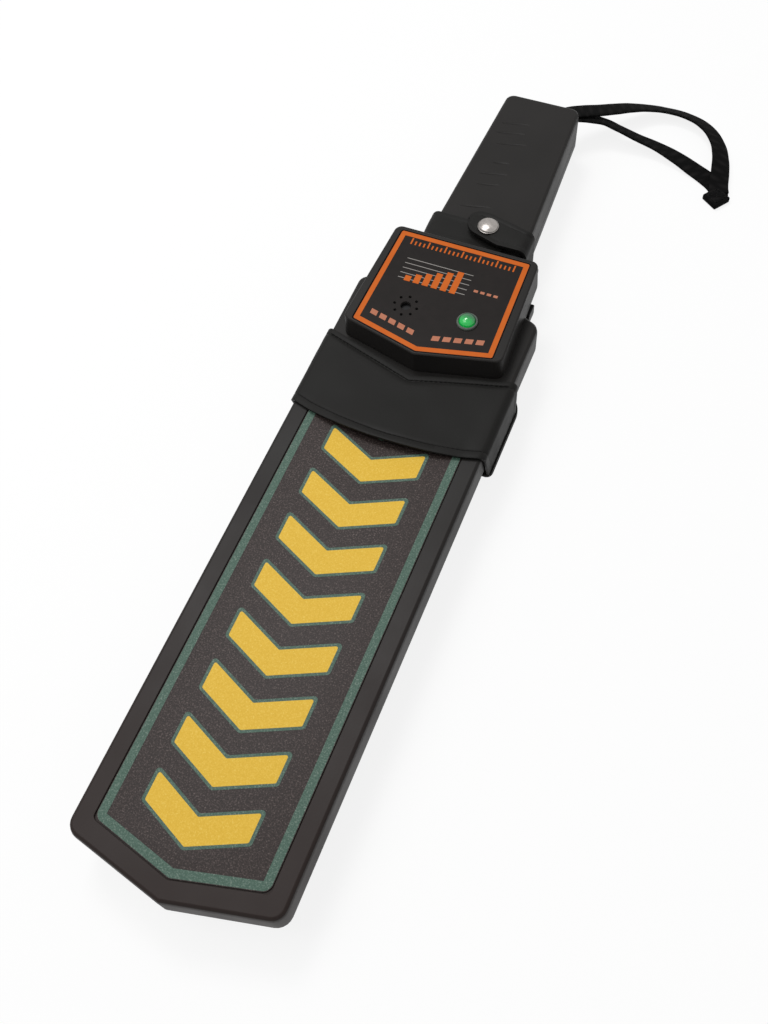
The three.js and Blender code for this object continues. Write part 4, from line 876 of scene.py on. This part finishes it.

# %% [markdown]
# ## The neck strap and its flap
#
# Two straps close round the handle's neck. The one from the left lies on the casing, and the one
# from the right folds over it and snaps on. The right one is a single hide that runs from the back
# panel up the side and over the front. It is built where it lies and rides on no body.

# %% Neck strap
_, strap_low, strap_high = middle("neck_strap")
strap_y = [thousandths(strap_low.y), thousandths(strap_high.y)]
neck_half, strap_thick = 23.6, 1.6
neck_top = paddle_front + 0.3
neck_profile = filled(rounded_path([
    [thousandths(strap_high.x), neck_top, 0], [-neck_half, neck_top, 2],
    [-neck_half, thousandths(back_high.z) + 0.1, 0]]), 1.6)
strap_rows = shares(0, 0.5, 1.8, 2.2, 2.6, 5, 9, 13, 15.4, 15.8, 16.2, 17.5, 18)


def neck_fit(x, share, z):
    width = strap_y[1] - strap_y[0]
    y = strap_y[0] + share * width
    groove = 0.12 * max(0, 1 - abs(min(share, 1 - share) * width - 2.2) / 0.5)
    dent = 0.2 * noise.noise(Vector((x / 7, y / 8, 5.5))) + 0.1
    if z > neck_top - 1:
        return x, y, z + max(dent, 0) - groove
    return x - max(dent, 0) + groove, y, z


neck_piece = hide("neck_strap_leather", neck_profile, strap_rows, neck_fit, strap_thick, 1,
                  stands_for=["neck_strap"])

# %% Side strap and flap
side_low, side_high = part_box("neck_strap_side")
_, flap_low, flap_high = middle("strap_flap")
_, cap_low, cap_high = middle("snap_cap")
snap_x, snap_y = (cap_low.x + cap_high.x) / 2, (cap_low.y + cap_high.y) / 2
side_x, flap_under = thousandths(side_low.x), thousandths(flap_high.z) - strap_thick
tip_length = 5.6
flap_tip = thousandths(flap_low.x)
flap_profile = filled(rounded_path([
    [side_x, thousandths(back_high.z) + 0.1, 0], [side_x, flap_under, 2.6],
    [flap_tip + tip_length, flap_under, 0]]), 1.4)
flap_profile += [Vector((flap_tip + tip_length * (1 - math.sin(math.radians(angle))), flap_under))
                 for angle in range(10, 91, 10)]
flap = {"near": 102.9, "far": 115.1, "near_turn": 11, "far_turn": 21, "near_slope": 0.29,
        "far_slope": 0.25, "far_most": 119.6}


def flap_fit(x, share, z):
    """The flap widens towards the snap: its front edge turns back, and its rear edge slants out."""
    low = flap["near"] + flap["near_slope"] * max(0, flap["near_turn"] - x)
    high = flap["far"] + flap["far_slope"] * max(0, flap["far_turn"] - x)
    high = min(high, flap["far_most"])
    into_tip = max(0, flap_tip + tip_length - x) / tip_length
    half, centre = (high - low) / 2, (high + low) / 2
    width = half * math.sqrt(max(1 - into_tip ** 2, 0))
    y = centre + (2 * share - 1) * width
    groove = 0.3 * max(0, 1 - abs(min(share, 1 - share) * 2 * width - 2) / 0.5)
    press = 0.5 * math.exp(-(((x - snap_x / mm) ** 2 + (y - snap_y / mm) ** 2) / 30))
    if z > flap_under - 1:
        curl = 0.005 * max(0, abs(y - centre) - 3) ** 2
        return x, y, z + 0.35 - press - groove + 0.12 * noise.noise(Vector((x / 6, y / 6, 1))) - curl
    return x, y, z


flap_piece = hide("strap_flap_leather", flap_profile, strap_rows, flap_fit, strap_thick, 1, body=None,
                  stands_for=["strap_flap", "neck_strap_side"])
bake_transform(flap_piece)
print("flap tip at x", round(flap_tip, 1), "mm")

# %% [markdown]
# ## The snap fastener and the rivets
#
# The cap of the snap is a shallow dome with a rolled rim. Under the flap its socket grips a stud on
# the neck strap. The rivets of the belt loop are flat domes, seen only from the back.

# %% Snap and rivets
cap_radius = (cap_high.x - cap_low.x) / 2
snap_centre = (snap_x, snap_y)
flap_top = flap_high.z
spun("snap_cap_dome", [(0, flap_top - 0.2 * mm), (cap_radius - 0.3 * mm, flap_top - 0.2 * mm),
                       (cap_radius, flap_top + 0.25 * mm), (cap_radius, flap_top + 0.5 * mm),
                       (cap_radius - 0.15 * mm, flap_top + 0.8 * mm)]
     + arc(cap_radius - 0.35 * mm, cap_high.z - flap_top - 0.9 * mm, flap_top + 0.9 * mm, 10),
     snap_centre, nickel, body="strap_flap", stands_for=["snap_cap"], slot="snap_metal")
_, socket_low, socket_high = middle("snap_socket")
socket_bore, socket_radius = 1.9 * mm, (socket_high.x - socket_low.x) / 2
spun("snap_socket_ring", [
    (socket_bore, socket_low.z), (socket_radius - 0.4 * mm, socket_low.z),
    (socket_radius, socket_low.z + 0.4 * mm), (socket_radius, socket_high.z),
    (socket_bore, socket_high.z), (socket_bore, socket_low.z)],
    snap_centre, nickel, body="strap_flap", stands_for=["snap_socket"], slot="snap_metal")
_, stud_low, stud_high = middle("snap_stud")
stud_base, stud_neck, stud_head = (stud_high.x - stud_low.x) / 2, 1.2 * mm, 1.55 * mm
spun("snap_stud_pin", [
    (0, stud_low.z), (stud_base, stud_low.z), (stud_base - 0.3 * mm, stud_low.z + 0.5 * mm),
    (stud_neck + 0.2 * mm, stud_low.z + 0.6 * mm), (stud_neck, stud_low.z + 0.8 * mm),
    (stud_head, stud_high.z - 0.7 * mm), (stud_head, stud_high.z - 0.4 * mm),
    (stud_head * 0.6, stud_high.z), (0, stud_high.z)],
    snap_centre, nickel, stands_for=["snap_stud"], slot="snap_metal")
for number in range(1, 5):
    node = f"belt_loop_rivet_{number}"
    centre, low, high = middle(node)
    radius = (high.x - low.x) / 2
    shank, head_depth = 1.2 * mm, 0.8 * mm
    spun(f"rivet_{number}", [(0, low.z)] + arc(radius, head_depth, low.z, 6)[::-1][1:]
         + [(radius, low.z + head_depth), (shank, low.z + head_depth), (shank, high.z), (0, high.z)],
         centre, nickel, steps=32, stands_for=[node], slot="steel")
print("snap cap radius", round(cap_radius / mm, 1), "mm")

# %% [markdown]
# ## Stitches
#
# Each stitch is a short, flattened bead of thread that dips into the leather at its ends. A row is
# laid by dropping points onto the leather from outside it, so it follows every dent and fold.

# %% Stitches
def sew(name, leather_piece, lines, into, body="wand", pitch=3.4, long=2.5, wide=0.62):
    """Lays stitches along lines of points, in millimetres, dropped onto a leather piece."""
    shown = leather_piece.evaluated_get(bpy.context.evaluated_depsgraph_get())
    surface = BVHTree.FromObject(shown, bpy.context.evaluated_depsgraph_get())
    bm = bmesh.new()
    towards = Vector(into).normalized()
    for points in lines:
        path = filled([Vector(point) for point in points], pitch)
        for before, after in zip(path, path[1:]):
            start = (before + after) / 2 * mm - towards * 12 * mm
            hit, normal, _, _ = surface.ray_cast(start, towards, 24 * mm)
            if hit is None:
                continue
            along = (after - before).normalized()
            along = (along - normal * along.dot(normal)).normalized()
            side = normal.cross(along)
            turn = Matrix((along, side, normal)).transposed().to_4x4()
            bead = Matrix.Translation(hit + normal * 0.05 * mm) @ turn @ Matrix.Diagonal(
                (long / 2 * mm, wide / 2 * mm, 0.24 * mm, 1))
            bmesh.ops.create_uvsphere(bm, u_segments=8, v_segments=6, radius=1, matrix=bead)
    count = len(bm.faces) // 48
    piece = place_piece(name, bm, thread, body, slot="leather", sharp=180)
    print(name, count, "stitches")
    return piece


def hem_line(from_edge, upper):
    """The line of the band's lower or upper hem, at a distance from its edge."""
    line = []
    for i in range(41):
        x = -41 + 2.05 * i
        reach = min(abs(x) / band["inner"], 1)
        low = band["start"] + band["sides"] * reach * reach
        high = band["start"] + band["long"] + band["end_rise"] * reach
        line.append((x, high - from_edge if upper else low + from_edge, 36))
    return line


sew("band_hem_stitches", band_piece, [hem_line(band["hem"], False), hem_line(2.6, True)], (0, 0, -1))
for side, name in ((-1, "left"), (1, "right")):
    foot = [(side * 44, 7, back + 2.6), (side * 44, 35, back + 2.6)]
    sew(f"band_foot_stitches_{name}", band_piece, [foot], (-side, 0, 0))
panel_rows = [[(side * 42.6, 8, 6), (side * 42.6, 39, 6)] for side in (-1, 1)]
panel_rows += [[(side * 24.6, 68, 6), (side * 24.6, 118, 6)] for side in (-1, 1)]
panel_rows += [[(-40, 6.4, 6), (40, 6.4, 6)], [(-22, 119.6, 6), (22, 119.6, 6)]]
sew("panel_edge_stitches", panel_piece, panel_rows, (0, 0, 1))
loop_lines = [[(side * (loop_half - 2.9), loop_y[0] + 1, 0), (side * (loop_half - 2.9), loop_y[1] - 1, 0)]
              for side in (-1, 1)]
sew("belt_loop_stitches", loop_piece, loop_lines, (0, 0, 1))

# %% [markdown]
# ## The wrist strap
#
# The strap is one length of nylon webbing, 9.5 mm wide, that leaves a slot in the handle's end as
# two layers. They part, curve out over the surface the wand lies on, and meet again where they are
# folded and sewn together. Each run is a flat section, swept along a smooth curve through listed
# places, and turned a little about its line so that it leans as the real one does.

# %% Webbing runs
strap_width, strap_depth = 9.5, 1.2


def smooth_line(places, detail=10):
    """Points of a smooth curve through places [x, y, z, lean], with the lean carried along."""
    curve = bpy.data.curves.new("guide", "CURVE")
    curve.dimensions = "3D"
    spline = curve.splines.new("BEZIER")
    spline.bezier_points.add(len(places) - 1)
    spline.resolution_u = detail
    for point, (x, y, z, _) in zip(spline.bezier_points, places):
        point.co = (x, y, z)
        point.handle_left_type = point.handle_right_type = "AUTO"
    guide = bpy.data.objects.new("guide", curve)
    bpy.context.scene.collection.objects.link(guide)
    bpy.context.view_layer.update()
    mesh = bpy.data.meshes.new_from_object(guide)
    line = [vert.co.copy() for vert in mesh.vertices]
    leans = [a[3] + (b[3] - a[3]) * k / detail for a, b in zip(places, places[1:])
             for k in range(detail)] + [places[-1][3]]
    bpy.data.objects.remove(guide)
    return line, leans


def webbing_run(name, places, node):
    """A flat woven strip along places in metres, with its UV map in metres."""
    line, leans = smooth_line(places)
    frames = []
    for i, here in enumerate(line):
        forward = (line[min(i + 1, len(line) - 1)] - line[max(i - 1, 0)]).normalized()
        across = Vector((0, 0, 1)).cross(forward).normalized()
        above = forward.cross(across)
        lean = math.radians(leans[i])
        wide = across * math.cos(lean) + above * math.sin(lean)
        frames.append(Matrix.Translation(here) @ Matrix((wide, forward.cross(wide), forward))
                      .transposed().to_4x4())
    half, depth = strap_width / 2 * mm, strap_depth / 2 * mm
    section = [(half * x, depth * z) for x, z in
               ((1, 0), (0.985, 0.6), (0.93, 0.95), (0.6, 1), (0.2, 1), (-0.2, 1), (-0.6, 1), (-0.93, 0.95),
                (-0.985, 0.6), (-1, 0), (-0.985, -0.6), (-0.93, -0.95), (-0.6, -1), (-0.2, -1),
                (0.2, -1), (0.6, -1), (0.93, -0.95), (0.985, -0.6))]
    bm = bmesh.new()
    ring = [bm.verts.new(frames[0] @ Vector((x, z, 0))) for x, z in section]
    bm.faces.new(ring)
    edges = [bm.edges.get((ring[i], ring[i - 1])) for i in range(len(ring))]
    for before, after in zip(frames, frames[1:]):
        made = bmesh.ops.extrude_edge_only(bm, edges=edges)["geom"]
        verts = [part for part in made if isinstance(part, bmesh.types.BMVert)]
        edges = [part for part in made if isinstance(part, bmesh.types.BMEdge)
                 and all(vert in verts for vert in part.verts)]
        bmesh.ops.transform(bm, matrix=after @ before.inverted(), verts=verts)
    bmesh.ops.contextual_create(bm, geom=edges)
    bmesh.ops.recalc_face_normals(bm, faces=bm.faces)
    lengths = [0.0]
    for before, after in zip(line, line[1:]):
        lengths.append(lengths[-1] + (after - before).length)
    uv = bm.loops.layers.uv.new("UVMap")
    for face in bm.faces:
        for loop in face.loops:
            nearest = min(range(len(line)), key=lambda i: (line[i] - loop.vert.co).length_squared)
            across = (frames[nearest].inverted() @ loop.vert.co).x
            loop[uv].uv = (lengths[nearest], across)
    piece = place_piece(name, bm, webbing, stands_for=[node], slot="webbing", sharp=50)
    return piece, line, lengths[-1]


outer_places = [
    [8.5, 205, 21.3, 0], [8.5, 207.5, 21.3, 0], [11, 213.2, 19.4, -4], [16.5, 219.4, 17, -5],
    [23.5, 225.6, 14.4, -6], [30, 232, 11.8, -8], [37.5, 239, 9, -14], [45, 244.6, 6.2, -22],
    [54, 248, 4.4, -28], [66, 247.9, 3.8, -28], [76.4, 243.6, 3.7, -26], [84.4, 234.8, 3.7, -25],
    [88.6, 225, 3.9, -22], [91, 215, 3.6, -12], [92.95, 205.25, 2.5, -1], [94.05, 202.2, 2.25, 0],
]
inner_places = [
    [8.5, 205, 19.5, 0], [8.5, 207.5, 19.5, 0], [11.2, 211.8, 18.2, -5], [16, 216.2, 16, -10],
    [22.5, 219.6, 13.6, -18], [28, 221.5, 11.8, -24], [36, 222, 9.2, -26], [46, 222, 6.2, -24],
    [56.5, 221.4, 4.2, -20], [68, 218.6, 2.6, -10], [78, 214.8, 1.3, -3], [86, 211, 0.85, 0],
    [90.9, 207.6, 0.75, 0], [93, 204.9, 0.72, 0], [94.05, 202.2, 0.7, 0],
]


def in_metres(places):
    return [[x * mm, y * mm, z * mm, lean] for x, y, z, lean in places]


outer_run, outer_line, outer_long = webbing_run(
    "wrist_strap_outer_run", in_metres(outer_places), "wrist_strap_outer")
inner_run, inner_line, inner_long = webbing_run(
    "wrist_strap_inner_run", in_metres(inner_places), "wrist_strap_inner")
print("webbing runs:", round(outer_long, 3), "m and", round(inner_long, 3), "m")

# %% [markdown]
# ## The strap's sewn end
#
# Both layers are folded once more and sewn through, so the end is a thick little block of webbing
# with rounded folds and a box of stitches. It lies turned, in line with the inner layer.

# %% Sewn end
end_turn = Matrix.Rotation(math.radians(-36), 4, "Z")
end_size = Vector((9.5, 9.5, 3.1)) * mm
end_centre = Vector((93.4 * mm, 199.1 * mm, end_size.z / 2))
bm = bmesh.new()
bmesh.ops.create_cube(bm, size=1, matrix=Matrix.Translation(end_centre) @ end_turn
                      @ Matrix.Diagonal((*end_size, 1)))
bmesh.ops.subdivide_edges(bm, edges=bm.edges[:], cuts=3, use_grid_fill=True)
rims = [edge for edge in bm.edges if edge.calc_face_angle() > math.radians(60)]
bmesh.ops.bevel(bm, geom=rims, offset=0.55 * mm, offset_type="OFFSET", segments=3, profile=0.5,
                affect="EDGES", clamp_overlap=True, material=-1)
end_uv = bm.loops.layers.uv.new("UVMap")
to_end = (Matrix.Translation(end_centre) @ end_turn).inverted()
for face in bm.faces:
    for loop in face.loops:
        spot = to_end @ loop.vert.co
        loop[end_uv].uv = (spot.x + spot.z, spot.y + spot.z)
end_piece = place_piece("wrist_strap_sewn_end", bm, webbing, stands_for=["wrist_strap_end"],
                        slot="webbing", sharp=60)
box_half = 3.4
end_corners = [(-box_half, -box_half), (box_half, -box_half), (box_half, box_half), (-box_half, box_half)]
end_path = [end_corners[i % 4] for i in range(5)] + [end_corners[2], end_corners[1], end_corners[3]]
end_points = [tuple((Matrix.Translation(end_centre) @ end_turn @ Vector((x * mm, y * mm, 0))) / mm)
              for x, y in end_path]
end_stitches = sew("wrist_strap_stitches", end_piece, [end_points], (0, 0, -1), pitch=1.7, long=1.5,
                   wide=0.5)
print("sewn end at", [round(value / mm, 1) for value in end_centre])

# %% [markdown]
# ## The pieces that keep their construction shape
#
# Screws, the strap's pin and everything inside the shells already have their real form, so they
# only get their finishes. A node's material slot is simply filled with the new material.

# %% Finishes of the remaining nodes
finish_of = {
    "strap_anchor": inside["lead_black"], "strap_pin": steel, "push_switch": inside["chip"],
    "slide_switch": steel, "circuit_board": inside["board"], "control_chip": inside["chip"],
    "buzzer": inside["chip"], "sensitivity_trimmer": inside["ceramic"], "trimmer_rotor": steel,
    "coil_former": inside["former"], "search_coil": copper, "battery": inside["battery"],
    "battery_clip": inside["chip"], "battery_foam": inside["foam"], "coil_lead": copper,
    "battery_lead_red": inside["lead_red"], "battery_lead_black": inside["lead_black"],
    "vibration_motor": steel, "vibration_weight": steel, "green_lamp": led_green,
}
for name, node in nodes.items():
    if node.hide_render:
        continue
    material = finish_of.get(name, steel)
    node.data.materials.clear()
    node.data.materials.append(material)
print("nodes with a new finish:", sum(not node.hide_render for node in nodes.values()))

# %% [markdown]
# ## Floor, backdrop and light
#
# A plain pale floor carries the soft shadow. Seen by the camera or in a reflection it is white, as
# a lit studio sweep is. The light is soft: two lamps above on the left, a large one nearer the tip
# and a smaller one towards the handle, and the even light of the room.

# %% Stage
def white_where_seen(material, share):
    """A factor that is the share for camera, glossy and transmission rays, and 0 for the others."""
    path = add(material, "ShaderNodeLightPath")
    seen = add(material, "ShaderNodeMath", {
        0: path.outputs["Is Camera Ray"], 1: path.outputs["Is Glossy Ray"]}, operation="ADD")
    both = add(material, "ShaderNodeMath", {
        0: seen.outputs["Value"], 1: path.outputs["Is Transmission Ray"]}, operation="ADD")
    return add(material, "ShaderNodeMath", {0: both.outputs["Value"], 1: share},
               operation="MULTIPLY", use_clamp=True).outputs["Value"]


floor_paint = bpy.data.materials.new("matt_white_paint")
floor_paint.use_nodes = True
floor_paint.node_tree.nodes.clear()
looked_at = add(floor_paint, "ShaderNodeLightPath").outputs["Is Camera Ray"]
tone = add(floor_paint, "ShaderNodeMix", {
    "Factor": looked_at, "A": paint("#7a7a7a"), "B": paint("#fafafa")}, data_type="RGBA")
matt = add(floor_paint, "ShaderNodeBsdfDiffuse", {"Color": tone.outputs["Result"]})
glow = add(floor_paint, "ShaderNodeEmission", {"Color": (1, 1, 1, 1), "Strength": 1.0})
mixed = add(floor_paint, "ShaderNodeMixShader", {
    "Fac": white_where_seen(floor_paint, 0.85), 1: matt.outputs["BSDF"], 2: glow.outputs["Emission"]})
add(floor_paint, "ShaderNodeOutputMaterial", {"Surface": mixed.outputs["Shader"]})
bm = bmesh.new()
bmesh.ops.create_grid(bm, x_segments=1, y_segments=1, size=6)
bmesh.ops.translate(bm, vec=(0, 0, -0.2 * mm), verts=bm.verts)
floor_mesh = bpy.data.meshes.new("floor")
bm.to_mesh(floor_mesh)
bm.free()
floor_mesh.materials.append(floor_paint)
floor = bpy.data.objects.new("floor", floor_mesh)
bpy.context.scene.collection.objects.link(floor)

world = bpy.data.worlds.new("studio")
bpy.context.scene.world = world
world.use_nodes = True
world.node_tree.nodes.clear()
room = add(world, "ShaderNodeBackground", {"Color": (1, 1, 1, 1), "Strength": 0.35})
white = add(world, "ShaderNodeBackground", {"Color": (1, 1, 1, 1), "Strength": 1.0})
chosen = add(world, "ShaderNodeMixShader", {
    "Fac": white_where_seen(world, 1.0), 1: room.outputs["Background"], 2: white.outputs["Background"]})
add(world, "ShaderNodeOutputWorld", {"Surface": chosen.outputs["Shader"]})


def soft_lamp(name, place, aim, size, watts, gleam=1.0):
    lamp = bpy.data.objects.new(name, bpy.data.lights.new(name, "AREA"))
    lamp.data.shape, lamp.data.size, lamp.data.energy = "SQUARE", size, watts
    lamp.data.specular_factor = gleam
    lamp.location = place
    lamp.rotation_euler = (Vector(aim) - Vector(place)).to_track_quat("-Z", "Y").to_euler()
    bpy.context.scene.collection.objects.link(lamp)
    return lamp


soft_lamp("key_lamp", (-0.5, -0.2, 1.2), (0, 0, 0), 0.8, 6, 0.3)
soft_lamp("mid_lamp", (-0.38, 0.4, 1.29), (0, -0.05, 0.03), 0.4, 8)
bpy.context.scene.view_settings.view_transform = "Standard"
print("floor, room and two lamps")
